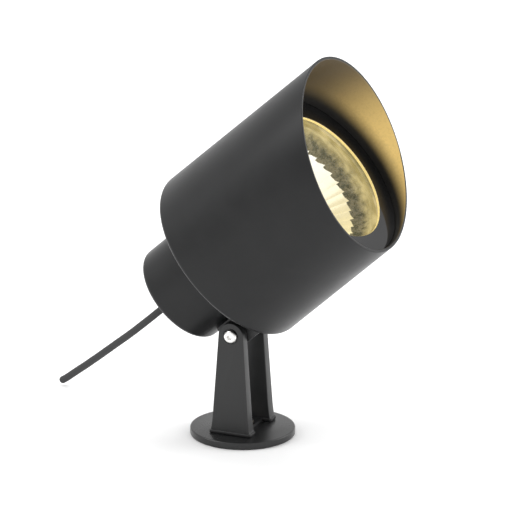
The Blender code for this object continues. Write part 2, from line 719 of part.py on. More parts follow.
def build_optics(head):
    """From the front: retaining bezel, lens, gasket, reflector and the ring that they seat on."""
    back = BEZEL_FRONT - BEZEL_THICK
    profile = [(BEZEL_BORE, back), (INSIDE_RADIUS, back), (INSIDE_RADIUS, BEZEL_FRONT - BEZEL_CHAMFER)]
    profile += [(INSIDE_RADIUS - BEZEL_CHAMFER, BEZEL_FRONT)]
    profile += [(BEZEL_BORE + BEZEL_CHAMFER, BEZEL_FRONT), (BEZEL_BORE, BEZEL_FRONT - BEZEL_CHAMFER)]
    turned("bezel_ring", profile, head, powder_coat(), WIDE)
    turned("front_lens", rod_profile(LENS_RADIUS, LENS_BACK, LENS_FRONT), head, clear_glass(), BROAD)
    outside = LENS_RADIUS - LENS_INSET
    gasket = ring_profile(outside - GASKET_WIDTH, outside, GASKET_FRONT - GASKET_THICK, GASKET_FRONT)
    turned("lens_gasket", gasket, head, silicone(), MIDDLE)
    build_reflector(head)
    seat_back = SEAT_FRONT - SEAT_HEIGHT
    ledge = INSIDE_RADIUS - SEAT_LEDGE
    skirt = INSIDE_RADIUS - SEAT_THICK
    ledge_back = SEAT_FRONT - SEAT_THICK
    profile = [(INSIDE_RADIUS, seat_back), (INSIDE_RADIUS, SEAT_FRONT), (ledge, SEAT_FRONT)]
    profile += [(ledge, ledge_back), (skirt, ledge_back), (skirt, seat_back)]
    turned("lens_seat_ring", profile, head, powder_coat(), BROAD)


def fin_row_half():
    return SINK_HALF - SINK_FIN_INSET - SINK_FIN_THICK / 2


def fin_pitch():
    return 2 * fin_row_half() / (SINK_FINS - 1)


def build_heat_sink(head):
    """A plate with fins behind it, on four posts that stand on the housing's back wall."""
    tip = SINK_BACK - SINK_FIN_LENGTH
    bm = prism(
        [(-SINK_HALF, -SINK_HALF), (SINK_HALF, -SINK_HALF), (SINK_HALF, SINK_HALF), (-SINK_HALF, SINK_HALF)],
        SINK_BACK, SINK_FRONT,
    )
    sink = place("heat_sink", bm, head, bare_aluminium())
    bars = bmesh.new()
    for i in range(SINK_FINS):
        centre = i * fin_pitch() - fin_row_half()
        corners = bmesh.ops.create_cube(bars, size=1.0)["verts"]
        height = SINK_FIN_LENGTH + SINK_PLATE / 2
        bmesh.ops.scale(bars, verts=corners, vec=(SINK_FIN_THICK, 2 * SINK_FIN_HALF, height))
        bmesh.ops.translate(bars, verts=corners, vec=(centre, 0, tip + height / 2))
    combine(sink, place("sink_fins", bars, head, bare_aluminium()), "UNION")
    deep = SINK_FRONT - LED_SCREW_REACH
    spots = [(-LED_SCREW_CIRCLE, 0), (LED_SCREW_CIRCLE, 0)]
    drill(sink, "led_thread", M3_RADIUS + FIT, deep - FIT, SINK_FRONT + MM, spots, head)
    drill(sink, "post_screw_hole", M3_RADIUS + FIT, SINK_BACK - MM, SINK_FRONT + MM, post_spots(), head)
    drill(sink, "lead_hole", LEAD_RADIUS + 4 * FIT, SINK_BACK - MM, SINK_FRONT + MM, [lead_spot()], head)
    post_low = BODY_BACK_WALL + FIT
    post_high = SINK_BACK - FIT
    thread = M3_RADIUS + FIT
    floor = post_high - THREAD_REACH - FIT
    profile = [(0, FIT), (M4_RADIUS, FIT), (M4_RADIUS, post_low), (POST_RADIUS, post_low)]
    profile += [(POST_RADIUS, post_high), (thread, post_high), (thread, floor), (0, floor)]
    for i, (x, y) in enumerate(post_spots()):
        turned(f"sink_post_{i + 1}", profile, head, stainless(), TINY, location=(x, y, 0))
        socket_screw(
            f"sink_screw_{i + 1}", M3_HEAD_RADIUS, M3_HEAD_HEIGHT, M3_RADIUS, post_high - THREAD_REACH,
            SINK_FRONT + FIT, M3_SOCKET_RADIUS, head, stainless(), location=(x, y, 0),
        )


def lead_spot():
    """Where the lead comes through the heat sink's plate: between two fins, beside the light board."""
    return (fin_pitch() / 2, LED_BOARD_RADIUS + LEAD_RADIUS + 5 * FIT)


def build_light(head):
    """The light board, its emitter, the holder that clamps them and the two screws."""
    board = turned("led_board", rod_profile(LED_BOARD_RADIUS, BOARD_BACK, BOARD_FRONT), head, white_plastic())
    spots = [(-LED_SCREW_CIRCLE, 0), (LED_SCREW_CIRCLE, 0)]
    drill(board, "board_hole", M3_RADIUS + FIT, SINK_FRONT - MM, BOARD_FRONT + MM, spots, head)
    holder = turned(
        "led_holder", ring_profile(LED_RADIUS + 2 * FIT, HOLDER_RADIUS, HOLDER_BACK, HOLDER_FRONT), head,
        white_plastic(),
    )
    drill(holder, "holder_hole", M3_RADIUS + FIT, BOARD_FRONT - MM, HOLDER_FRONT + MM, spots, head)
    steps = 4
    dome = [(0, HOLDER_BACK), (LED_RADIUS, HOLDER_BACK)]
    for i in range(steps + 1):
        turn = math.pi / 2 * i / steps
        dome.append((LED_RADIUS * math.cos(turn), HOLDER_BACK + LED_STEP + LED_DOME * math.sin(turn)))
    dome[-1] = (0, HOLDER_BACK + LED_STEP + LED_DOME)
    turned("led_emitter", dome, head, warm_light())
    for i, (x, y) in enumerate(spots):
        socket_screw(
            f"led_screw_{i + 1}", M3_HEAD_RADIUS, M3_HEAD_HEIGHT, M3_RADIUS, SINK_FRONT - LED_SCREW_REACH,
            HOLDER_FRONT + FIT, M3_SOCKET_RADIUS, head, stainless(), location=(x, y, 0),
        )


def tube(name, route, radius, finish, parent, sides):
    """A round cable along a smooth curve through the route's points, with closed ends."""
    length = sum(math.dist(a, b) for a, b in zip(route, route[1:]))
    count = max(4, round(length / (5 * radius)))
    spacing = length / count
    walked = [0.0]
    for a, b in zip(route, route[1:]):
        walked.append(walked[-1] + math.dist(a, b))
    points = []
    for i in range(count + 1):
        target = min(i * spacing, walked[-1])
        leg = max(j for j in range(len(route) - 1) if walked[j] <= target + 1e-9)
        share = (target - walked[leg]) / (walked[leg + 1] - walked[leg])
        points.append(smooth_point(route, leg, share))
    curve = bpy.data.curves.new(name, "CURVE")
    curve.dimensions = "3D"
    curve.bevel_depth = radius
    curve.bevel_resolution = sides
    curve.use_fill_caps = True
    line = curve.splines.new("POLY")
    line.points.add(len(points) - 1)
    for point, place_at in zip(line.points, points):
        point.co = (*place_at, 1.0)
    curve.materials.append(finish)
    made = bpy.data.objects.new(name, curve)
    made.parent = parent
    bpy.context.collection.objects.link(made)
    return made


def smooth_point(route, leg, share):
    """A Catmull-Rom point on one leg of the route."""
    last = len(route) - 1
    corners = [Vector(route[min(max(leg + k, 0), last)]) for k in (-1, 0, 1, 2)]
    before, start, end, after = corners
    t = share
    return 0.5 * (
        2 * start
        + (end - before) * t
        + (2 * before - 5 * start + 4 * end - after) * t**2
        + (3 * start - before - 3 * end + after) * t**3
    )


def build_driver(head):
    """The driver, its terminal block and the lead to the light board."""
    driver_z = DRIVER_FRONT - DRIVER_LENGTH / 2
    block("driver_module", DRIVER_SIZE, head, black_plastic(), DRIVER_EDGE, location=(0, 0, driver_z))
    terminal_z = DRIVER_FRONT - DRIVER_LENGTH - FIT - TERMINAL_SIZE[2] / 2
    block(
        "terminal_block", TERMINAL_SIZE, head, white_plastic(), TERMINAL_EDGE,
        location=(-TERMINAL_SIDE, 0, terminal_z),
    )
    x, y = lead_spot()
    low = DRIVER_FRONT + LEAD_RADIUS + FIT
    bend = (LEAD_START + y) / 2
    straight = [(x, y, z) for z in (14 * MM, 24 * MM, SINK_FRONT + 3 * MM)]
    route = [(x, LEAD_START, low), (x, bend, 5 * MM)] + straight
    tube("led_lead", route, LEAD_RADIUS, white_plastic(), head, 2)


def build_gland(head):
    """The cable gland in the neck's back wall, with the cable's inner end in it."""
    inner_end = NECK_BACK + NECK_BACK_WALL + FIT + LOCK_NUT_THICK + 0.8 * MM
    spigot_end = GLAND_NUT_FRONT - GLAND_NUT_HEX
    body = place(
        "gland_body", prism(polygon(GLAND_FLANGE_RADIUS, 6), GLAND_FLANGE_BACK, GLAND_FLANGE_FRONT), head,
        black_plastic(),
    )
    stem = turned(
        "gland_stem",
        [
            (0, spigot_end), (GLAND_SPIGOT_RADIUS, spigot_end), (GLAND_SPIGOT_RADIUS, GLAND_FLANGE_BACK + MM),
            (GLAND_RADIUS, GLAND_FLANGE_BACK + MM), (GLAND_RADIUS, inner_end), (0, inner_end),
        ],
        head, black_plastic(), ROUND,
    )
    combine(body, stem, "UNION")
    drill(body, "gland_bore", GLAND_BORE, spigot_end - MM, inner_end + MM, [(0, 0)], head, ROUND)
    lock_low = NECK_BACK + NECK_BACK_WALL + FIT
    lock = place(
        "gland_lock_nut", prism(polygon(GLAND_FLANGE_RADIUS, 6), lock_low, lock_low + LOCK_NUT_THICK), head,
        black_plastic(),
    )
    drill(lock, "lock_bore", GLAND_RADIUS + FIT, lock_low - MM, inner_end + MM, [(0, 0)], head, ROUND)
    nut = place(
        "gland_nut",
        prism(polygon(GLAND_NUT_RADIUS, 6, math.pi / 6), GLAND_NUT_FRONT - GLAND_NUT_HEX, GLAND_NUT_FRONT),
        head, black_plastic(),
    )
    dome_front = GLAND_NUT_FRONT - GLAND_NUT_HEX + 0.5 * MM
    dome_radius = GLAND_NUT_RADIUS * 0.86
    dome = [(0, dome_front), (dome_radius, dome_front)]
    steps = 4
    for i in range(steps + 1):
        turn = math.pi / 2 * i / steps
        out = dome_radius - (dome_radius - GLAND_BORE - 0.8 * MM) * (1 - math.cos(turn))
        dome.append((out, dome_front - 0.5 * MM - GLAND_NUT_DOME * math.sin(turn)))
    dome.append((0, GLAND_NUT_BACK))
    combine(nut, turned("gland_dome", dome, head, black_plastic(), ROUND), "UNION")
    hollow = GLAND_SPIGOT_RADIUS + FIT
    drill(nut, "nut_thread", hollow, spigot_end - FIT, GLAND_NUT_FRONT + MM, [(0, 0)], head, ROUND)
    drill(nut, "nut_mouth", GLAND_BORE, GLAND_NUT_BACK - MM, GLAND_NUT_FRONT, [(0, 0)], head, ROUND)
    seal_back = GLAND_NUT_BACK - SEAL_TAIL
    bore = CABLE_RADIUS + FIT
    outside = GLAND_BORE - FIT
    seal = [(bore, seal_back), (bore + 2 * FIT, seal_back), (outside, GLAND_NUT_BACK)]
    seal += [(outside, inner_end), (bore, inner_end)]
    turned("gland_seal", seal, head, black_rubber(), ROUND)
    tail_end = inner_end + 1.5 * MM
    turned("cable_tail", rod_profile(CABLE_RADIUS, seal_back, tail_end), head, black_rubber(), SMALL)


def build():
    clear_scene()
    base = empty("foot_frame")
    fork = empty("swivel_axis", base)
    pivot = empty("tilt_axis", fork, (0, 0, HINGE_HEIGHT), (0, math.pi / 2 - REST_TILT, 0))
    head = empty("lamp_centre_line", pivot, (-HINGE_DROP, 0, HINGE_BACK))
    build_foot(base)
    build_pan_screw(base)
    build_fork(fork)
    build_tilt_bolt(fork)
    build_lug(pivot)
    build_housing(head)
    build_neck(head)
    build_optics(head)
    build_heat_sink(head)
    build_light(head)
    build_driver(head)
    build_gland(head)
    bpy.context.view_layer.update()
    cable = tube("supply_cable", CABLE_ROUTE, CABLE_RADIUS, black_rubber(), None, 3)
    cable.parent = pivot
    cable.matrix_parent_inverse = pivot.matrix_world.inverted()


build()
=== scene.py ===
"""Looks of a garden spotlight: a hooded lamp head that tilts in a fork on a round foot.

Each sub-assembly is a class that holds its sizes in metres and builds its own pieces. The
head's pieces are built about the lamp's centre line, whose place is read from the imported
solids: there X points down towards the tilt bolt, Y along the tilt axis and Z out of the hood.
"""

import json
import logging
import math
from dataclasses import dataclass
from enum import Enum
from typing import Iterable, Mapping, Protocol, Sequence

import bmesh
import bpy
from mathutils import Matrix, Vector


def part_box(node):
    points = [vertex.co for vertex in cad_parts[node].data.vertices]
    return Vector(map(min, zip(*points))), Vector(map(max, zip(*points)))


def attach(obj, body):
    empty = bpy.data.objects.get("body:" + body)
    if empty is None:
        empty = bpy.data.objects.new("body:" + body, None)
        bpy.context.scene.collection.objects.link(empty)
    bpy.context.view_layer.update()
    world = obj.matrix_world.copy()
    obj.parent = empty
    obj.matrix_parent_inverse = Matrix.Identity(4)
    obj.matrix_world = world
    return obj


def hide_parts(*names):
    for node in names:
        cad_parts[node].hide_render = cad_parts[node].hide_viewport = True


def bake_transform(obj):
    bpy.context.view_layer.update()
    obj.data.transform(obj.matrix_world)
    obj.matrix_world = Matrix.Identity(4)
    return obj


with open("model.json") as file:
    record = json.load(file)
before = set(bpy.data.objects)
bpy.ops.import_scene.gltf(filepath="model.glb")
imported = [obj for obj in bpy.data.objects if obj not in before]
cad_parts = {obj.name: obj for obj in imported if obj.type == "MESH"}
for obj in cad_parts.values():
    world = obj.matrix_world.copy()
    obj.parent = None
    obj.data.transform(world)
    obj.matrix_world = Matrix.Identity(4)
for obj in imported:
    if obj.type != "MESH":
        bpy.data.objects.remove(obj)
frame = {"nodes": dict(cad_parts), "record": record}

LOG = logging.getLogger("spotlight")
MM = 0.001
ON_AXIS = 1e-7
QUARTER = math.pi / 2
BOARD_HEIGHT = 41.1 * MM

Colour = tuple[float, float, float]
Point = tuple[float, float]
Profile = list[Point]


class Body(str, Enum):
    """The moving bodies that a piece can ride on."""

    BASE = "base"
    FORK = "fork"
    HEAD = "head"


class Slot(str, Enum):
    """The record's material slots, listed here but not used by the code below."""

    COAT = "powder_coat"
    STEEL = "stainless"
    MIRROR = "mirror_aluminium"
    RUBBER = "black_rubber"
    SILICONE = "silicone"
    BLACK = "black_plastic"
    GLASS = "clear_glass"
    LIGHT = "warm_light"


def linear(red: int, green: int, blue: int) -> Colour:
    """The linear colour of an 8-bit display colour.

    Args:
        red, green, blue: values from 0 to 255.

    Returns:
        The three linear values from 0 to 1.
    """
    def one(value: int) -> float:
        """One channel."""
        share = value / 255
        return share / 12.92 if share <= 0.04045 else ((share + 0.055) / 1.055) ** 2.4

    return one(red), one(green), one(blue)


class Number:
    """A number that runs between shader nodes; arithmetic on it adds Math nodes."""

    def __init__(self, sheet: "NodeSheet", socket: bpy.types.NodeSocket) -> None:
        """Wraps an output socket of the sheet."""
        self.sheet = sheet
        self.socket = socket

    def math(
        self, operation: str, *others: "Number | float", first: "Number | float | None" = None,
    ) -> "Number":
        """One Math node.

        Args:
            operation: the node's operation.
            others: its second and third values.
            first: its first value, where that isn't this number.

        Returns:
            The node's result.
        """
        values = (self if first is None else first, *others)
        node = self.sheet.add("ShaderNodeMath", {"operation": operation}, dict(enumerate(values)))
        return Number(self.sheet, node.outputs[0])

    def __add__(self, other: "Number | float") -> "Number":
        """self + other."""
        return self.math("ADD", other)

    __radd__ = __add__

    def __mul__(self, other: "Number | float") -> "Number":
        """self * other."""
        return self.math("MULTIPLY", other)

    __rmul__ = __mul__

    def __sub__(self, other: "Number | float") -> "Number":
        """self - other."""
        return self.math("SUBTRACT", other)

    def __rsub__(self, other: "Number | float") -> "Number":
        """other - self."""
        return self.math("SUBTRACT", self, first=other)

    def __truediv__(self, other: "Number | float") -> "Number":
        """self / other."""
        return self.math("DIVIDE", other)

    def fraction(self) -> "Number":
        """The part after the decimal point."""
        return self.math("FRACT")

    def root(self) -> "Number":
        """The square root."""
        return self.math("SQRT")

    def angle_from(self, other: "Number") -> "Number":
        """The angle of (other, self) in radians."""
        return self.math("ARCTAN2", other)

    def ramp(self, low: float, high: float, start: float = 0.0, end: float = 1.0) -> "Number":
        """A smooth step.

        Args:
            low, high: where it begins and ends.
            start, end: its values there.

        Returns:
            The stepped number.
        """
        settings = {"interpolation_type": "SMOOTHSTEP"}
        node = self.sheet.add(
            "ShaderNodeMapRange", settings,
            {"Value": self, "From Min": low, "From Max": high, "To Min": start, "To Max": end},
        )
        return Number(self.sheet, node.outputs["Result"])


class NodeSheet:
    """A material's nodes."""

    def __init__(self, name: str) -> None:
        """Starts a material with its Principled shader.

        Args:
            name: the material's name.
        """
        self.material = bpy.data.materials.new(name)
        self.material.use_nodes = True
        self.tree = self.material.node_tree
        self.shader = self.tree.nodes["Principled BSDF"]

    def put(self, socket: bpy.types.NodeSocket, value: object) -> None:
        """Links or sets one socket.

        Args:
            socket: the input.
            value: a Number, a socket, or a plain value.
        """
        if isinstance(value, Number):
            value = value.socket
        if isinstance(value, bpy.types.NodeSocket):
            self.tree.links.new(value, socket)
            return
        if isinstance(value, tuple) and len(value) == 3 and socket.type == "RGBA":
            value = (*value, 1.0)
        socket.default_value = value

    def add(
        self, kind: str, settings: Mapping[str, object] | None = None,
        sockets: Mapping[str | int, object] | None = None,
    ) -> bpy.types.Node:
        """Adds any node.

        Args:
            kind: the node's type.
            settings: its own settings, set first.
            sockets: values or links of its inputs, by name or place.

        Returns:
            The node.
        """
        node = self.tree.nodes.new(kind)
        for name, value in (settings or {}).items():
            setattr(node, name, value)
        for name, value in (sockets or {}).items():
            self.put(node.inputs[name], value)
        return node

    def coordinates(self) -> bpy.types.NodeSocket:
        """The place on the piece, in metres in the piece's own axes."""
        return self.add("ShaderNodeTexCoord").outputs["Object"]

    def split(self) -> tuple[Number, Number, Number]:
        """The three coordinates apart."""
        node = self.add("ShaderNodeSeparateXYZ", None, {"Vector": self.coordinates()})
        return tuple(Number(self, node.outputs[i]) for i in range(3))

    def noise(
        self, scale: float, detail: float = 2.0, stretch: Colour = (1.0, 1.0, 1.0),
    ) -> Number:
        """Even cloud noise from 0 to 1.

        Args:
            scale: clouds a metre.
            detail: how many finer layers it has.
            stretch: how the place is stretched first.

        Returns:
            The noise.
        """
        stretched = {"Vector": self.coordinates(), "Scale": stretch}
        place = self.add("ShaderNodeMapping", None, stretched).outputs["Vector"]
        clouds = {"Vector": place, "Scale": scale, "Detail": detail}
        node = self.add("ShaderNodeTexNoise", None, clouds)
        return Number(self, node.outputs["Fac"])

    def blend(self, share: Number, first: object, second: object) -> bpy.types.NodeSocket:
        """A colour between two colours.

        Args:
            share: 0 for the first, 1 for the second.
            first, second: colours or colour sockets.

        Returns:
            The mixed colour.
        """
        node = self.add("ShaderNodeMix", {"data_type": "RGBA"}, {"Factor": share})
        colours = [socket for socket in node.inputs if socket.type == "RGBA"]
        self.put(colours[0], first)
        self.put(colours[1], second)
        return next(socket for socket in node.outputs if socket.type == "RGBA")

    def set(self, **values: object) -> None:
        """Sets the shader's sockets, named with underscores for spaces."""
        for name, value in values.items():
            self.put(self.shader.inputs[name.replace("_", " ")], value)

    def grain(self, height: Number, depth: float, strength: float) -> None:
        """Bumps the surface.

        Args:
            height: the relief, 0 to 1.
            depth: its depth in metres.
            strength: how much of it shows.
        """
        relief = {"Height": height, "Distance": depth, "Strength": strength}
        node = self.add("ShaderNodeBump", None, relief)
        self.set(Normal=node.outputs["Normal"])


class Finish(Protocol):
    """Whatever a piece can be dressed in."""

    def material(self) -> bpy.types.Material:
        """The finish as a material."""


@dataclass(frozen=True)
class Coat:
    """A grained, opaque finish: powder coat, moulded plastic, rubber or metal.

    Two colours drift into each other in soft clouds, and a fine grain breaks up the gloss.
    """

    name: str
    colour: Colour
    drift: Colour
    roughness: float
    spread: float = 0.06
    metallic: float = 0.0
    specular: float = 0.5
    cloud_scale: float = 60.0
    grain_scale: float = 1500.0
    grain_depth: float = 0.00006
    grain_strength: float = 0.35
    stretch: Colour = (1.0, 1.0, 1.0)

    def sheet(self) -> NodeSheet:
        """The finish's nodes.

        Returns:
            The sheet, whose material is ready to use.
        """
        sheet = NodeSheet(self.name)
        clouds = sheet.noise(self.cloud_scale, 3.0)
        grain = sheet.noise(self.grain_scale, 2.0, self.stretch)
        mottle = clouds * 0.6 + grain * 0.4
        smooth, rough = self.roughness - self.spread, self.roughness + self.spread
        sheet.set(
            Base_Color=sheet.blend(mottle.ramp(0.3, 0.7), self.colour, self.drift),
            Metallic=self.metallic, Roughness=mottle.ramp(0.25, 0.75, smooth, rough),
            Specular_IOR_Level=self.specular,
        )
        sheet.grain(grain, self.grain_depth, self.grain_strength)
        return sheet

    def material(self) -> bpy.types.Material:
        """The finish as a material, made once."""
        return bpy.data.materials.get(self.name) or self.sheet().material


@dataclass(frozen=True)
class HoodPaintedGlow(Coat):
    """The hood's inner wall: the same coat, with the lamp's light on it painted as a gold emission
    past a soft cut-off, painted dimmer at the top and further out.
    """

    # Where the painted lamp light begins, is full and fades further out, and where it turns from
    # top to bottom; then its painted colours.
    start: float = 101.0 * MM
    full: float = 116.5 * MM
    far_start: float = 125.0 * MM
    far_end: float = 165.0 * MM
    high: float = -62.0 * MM
    low: float = 10.0 * MM
    gold: Colour = linear(222, 188, 112)
    amber: Colour = linear(92, 76, 46)
    dim: Colour = linear(64, 52, 30)

    def sheet(self) -> NodeSheet:
        """The coat's nodes with the painted lamp light added as emission.

        Returns:
            The sheet.
        """
        sheet = Coat.sheet(self)
        x, y, z = sheet.split()
        # Painted light: dark next to the bezel, glowing past the cut-off, gold lower down, amber
        # further out, painted shade at the top middle, speckled.
        side = y * y / (x * x + y * y)
        below = x.ramp(self.high, self.low)
        reach = z.ramp(self.start, self.full)
        distance = z.ramp(self.far_start, self.far_end)
        speckle = sheet.noise(700.0, 3.0).ramp(0.2, 0.8, 0.90, 1.08)
        wall = sheet.blend(distance, sheet.blend(below, self.amber, self.gold), self.amber)
        wall = sheet.blend((1 - side) * (1 - below), wall, self.dim)
        glow = sheet.blend(reach * speckle, (0.0, 0.0, 0.0), wall)
        sheet.set(Emission_Color=glow, Emission_Strength=1.0)
        return sheet


@dataclass(frozen=True)
class PetalMirrorPaintedGlow:
    """The reflector's face, a mirror whose look is painted as emission: painted reflections of the
    lamp as a gold rim band, a mottled band and a bright, saw-edged bowl.
    """

    name: str
    petals: int
    bright: float
    band: float
    tooth: float = 1.2 * MM
    tooth_waver: float = 1.4 * MM
    edge_blur: float = 0.15 * MM
    band_waver: float = 4.0 * MM
    band_inwards: float = 3.5 * MM
    band_outwards: float = 1.0 * MM
    # Colours of the painted reflections.
    white: Colour = linear(255, 252, 236)
    cream: Colour = linear(250, 234, 180)
    gold: Colour = linear(226, 206, 142)
    straw: Colour = linear(176, 158, 100)
    taupe: Colour = linear(134, 124, 94)
    moss: Colour = linear(72, 70, 46)

    def material(self) -> bpy.types.Material:
        """The reflector's material.

        Returns:
            The material.
        """
        sheet = NodeSheet(self.name)
        x, y, _ = sheet.split()
        radius = (x * x + y * y).root()
        turn = y.angle_from(x) * (self.petals / (2 * math.pi))
        petal = turn.fraction()
        mottle = sheet.noise(240.0, 4.0)
        fine = sheet.noise(900.0, 2.0)
        streak = sheet.noise(60.0, 2.0, (1.0, 1.0, 6.0))
        swing = mottle - 0.5
        # Painted light: the lamp's bright reflection fills the bowl up to a saw edge and is whiter
        # towards the top, followed by a mottled band and a gold, streaked rim band, all as
        # emission.
        edge = radius + petal * self.tooth + swing * self.tooth_waver
        bright = edge.ramp(self.bright - self.edge_blur, self.bright + self.edge_blur, 1.0, 0.0)
        band = radius + swing * self.band_waver
        rim = band.ramp(self.band - self.band_inwards, self.band + self.band_outwards)
        bowl = sheet.blend(x.ramp(-0.030, 0.034), self.white, self.cream)
        painted_mottled_band = sheet.blend((mottle * 0.6 + fine * 0.4).ramp(0.38, 0.62), self.moss, self.taupe)
        ring = sheet.blend(streak.ramp(0.35, 0.65), self.gold, self.straw)
        colour = sheet.blend(bright, sheet.blend(rim, painted_mottled_band, ring), bowl)
        # The base colour is painted lighter inside the bright zone as well.
        sheet.set(
            Base_Color=sheet.blend(bright, (0.06, 0.058, 0.045), (0.5, 0.48, 0.42)),
            Metallic=1.0, Roughness=0.22, Emission_Color=colour, Emission_Strength=0.92,
        )
        sheet.grain(petal, 0.2 * MM, 0.3)
        return sheet.material


@dataclass(frozen=True)
class PaintedLitSilicone:
    """Pale silicone with the lamp's light through it painted as emission, in uneven streaks."""

    name: str
    pale: Colour
    deep: Colour

    def material(self) -> bpy.types.Material:
        """The silicone's material.

        Returns:
            The material.
        """
        made = bpy.data.materials.get(self.name)
        if made:
            return made
        sheet = NodeSheet(self.name)
        streak = sheet.noise(90.0, 3.0, (1.0, 1.0, 0.4))
        sheet.set(
            Base_Color=(0.30, 0.27, 0.18), Roughness=streak.ramp(0.3, 0.7, 0.40, 0.60),
            Emission_Color=sheet.blend(streak.ramp(0.35, 0.65), self.pale, self.deep),
            Emission_Strength=0.8,
        )
        return sheet.material


@dataclass(frozen=True)
class Glass:
    """Clear flat glass, seen mostly through, with a faint smear of dust."""

    name: str

    def material(self) -> bpy.types.Material:
        """The glass as a material.

        Returns:
            The material.
        """
        sheet = NodeSheet(self.name)
        dust = sheet.noise(90.0, 4.0)
        sheet.set(
            Base_Color=(0.10, 0.11, 0.10), Metallic=0.0, IOR=1.5, Specular_IOR_Level=0.5,
            Roughness=dust.ramp(0.3, 0.8, 0.02, 0.09), Alpha=dust.ramp(0.35, 0.8, 0.05, 0.09),
        )
        sheet.material.surface_render_method = "BLENDED"
        return sheet.material


@dataclass(frozen=True)
class Phosphor:
    """The light source's dome: warm phosphor under silicone, lit. The bezel's bore face uses it
    too, as painted lamp light.
    """

    name: str
    centre: Colour
    edge: Colour
    strength: float
    fade_from: float = 4.0 * MM
    fade_to: float = 9.5 * MM

    def material(self) -> bpy.types.Material:
        """The dome's material.

        Returns:
            The material.
        """
        sheet = NodeSheet(self.name)
        x, y, _ = sheet.split()
        radius = (x * x + y * y).root()
        speckle = sheet.noise(1800.0, 2.0)
        glow = sheet.blend(radius.ramp(self.fade_from, self.fade_to), self.centre, self.edge)
        sheet.set(
            Base_Color=sheet.blend(speckle, (0.95, 0.72, 0.22), (0.98, 0.82, 0.38)),
            Roughness=speckle.ramp(0.2, 0.8, 0.25, 0.40), Emission_Color=glow,
            Emission_Strength=self.strength,
        )
        return sheet.material


CHARCOAL = Coat(
    "charcoal_coat", (0.0085, 0.0087, 0.0092), (0.0110, 0.0112, 0.0117), 0.36, spread=0.04,
    specular=0.28, grain_strength=0.10,
)
CHARCOAL_FORK = Coat(
    "charcoal_cast", (0.0095, 0.0097, 0.0100), (0.0125, 0.0127, 0.0130), 0.42, spread=0.05,
    grain_scale=1100.0, grain_depth=0.00009,
)
CHARCOAL_DISC = Coat(
    "charcoal_disc", (0.0110, 0.0112, 0.0115), (0.0140, 0.0142, 0.0145), 0.30, spread=0.05,
    grain_strength=0.2,
)
# The hood's inside, with the lamp's light painted on it as emission.
HOOD_PAINTED_GLOW = HoodPaintedGlow(
    "hood_inside_painted_glow", (0.0120, 0.0118, 0.0115), (0.0150, 0.0146, 0.0140), 0.50, grain_strength=0.5,
)
BEZEL_BLACK = Coat(
    "bezel_black", (0.0060, 0.0060, 0.0063), (0.0080, 0.0080, 0.0083), 0.07, spread=0.02,
    grain_strength=0.03,
)
STEEL = Coat(
    "bright_steel", (0.66, 0.62, 0.55), (0.50, 0.47, 0.42), 0.30, spread=0.10, metallic=1.0,
    cloud_scale=500.0, grain_scale=2600.0, grain_depth=0.00002, stretch=(1.0, 1.0, 4.0),
)
BOLT_STEEL = Coat(
    "bolt_steel", (0.90, 0.89, 0.87), (0.80, 0.79, 0.77), 0.26, spread=0.06, metallic=1.0,
    cloud_scale=700.0, grain_scale=2600.0, grain_depth=0.00001,
)
ALUMINIUM = Coat(
    "bare_aluminium", (0.68, 0.68, 0.70), (0.58, 0.58, 0.60), 0.36, spread=0.08, metallic=1.0,
    grain_depth=0.00003, stretch=(6.0, 1.0, 1.0),
)
RUBBER = Coat(
    "cable_rubber", (0.013, 0.0134, 0.0138), (0.020, 0.0205, 0.021), 0.60, grain_scale=900.0,
    grain_depth=0.0001,
)
SEAL_RUBBER = Coat("seal_rubber", (0.014, 0.014, 0.014), (0.022, 0.022, 0.022), 0.75)
BLACK_NYLON = Coat(
    "gland_nylon", (0.016, 0.016, 0.017), (0.023, 0.023, 0.024), 0.44, grain_depth=0.00005,
)
WHITE_RESIN = Coat(
    "white_resin", (0.80, 0.80, 0.76), (0.72, 0.72, 0.68), 0.42, grain_depth=0.00003,
)
NYLON = Coat("natural_nylon", (0.62, 0.60, 0.53), (0.55, 0.53, 0.47), 0.48)
# Painted lamp light on the bezel's bore face, as emission.
PAINTED_LIT_EDGE = Phosphor("painted_lit_edge", linear(170, 158, 118), linear(150, 138, 98), 0.70)
LAMP = Phosphor("lamp_phosphor", linear(255, 250, 225), linear(255, 226, 150), 2.2)
PAINTED_LIT_SILICONE = PaintedLitSilicone("painted_lit_silicone", linear(218, 200, 146), linear(160, 146, 96))
LENS_GLASS = Glass("lens_glass")


def corner(centre: Point, radius: float, start: float, end: float, steps: int = 5) -> Profile:
    """Points on a round corner.

    Args:
        centre: its centre.
        radius: its radius.
        start, end: its angles in degrees.
        steps: how many chords it has.

    Returns:
        The points.
    """
    angles = [math.radians(start + (end - start) * i / steps) for i in range(steps + 1)]
    return [(centre[0] + radius * math.cos(a), centre[1] + radius * math.sin(a)) for a in angles]


def softened(points: Profile, radius: float, steps: int = 4) -> Profile:
    """A closed outline with its corners rounded.

    Args:
        points: the outline.
        radius: how far along each side a corner's round reaches.
        steps: how many chords each corner gets.

    Returns:
        The rounded outline.
    """
    made: Profile = []
    for i, point in enumerate(points):
        here, before = Vector(point), Vector(points[i - 1])
        after = Vector(points[(i + 1) % len(points)])
        reach = min(radius, 0.45 * (before - here).length, 0.45 * (after - here).length)
        start = here + (before - here).normalized() * reach
        end = here + (after - here).normalized() * reach
        for k in range(steps + 1):
            t = k / steps
            made.append(tuple((1 - t) ** 2 * start + 2 * t * (1 - t) * here + t * t * end))
    return made


def ring_outline(inner: float, outer: float, low: float, high: float) -> Profile:
    """The cut face of a plain ring."""
    return [(inner, low), (outer, low), (outer, high), (inner, high)]


def rod_outline(radius: float, low: float, high: float) -> Profile:
    """Half the section of a rod, from axis to axis."""
    return [(0, low), (radius, low), (radius, high), (0, high)]


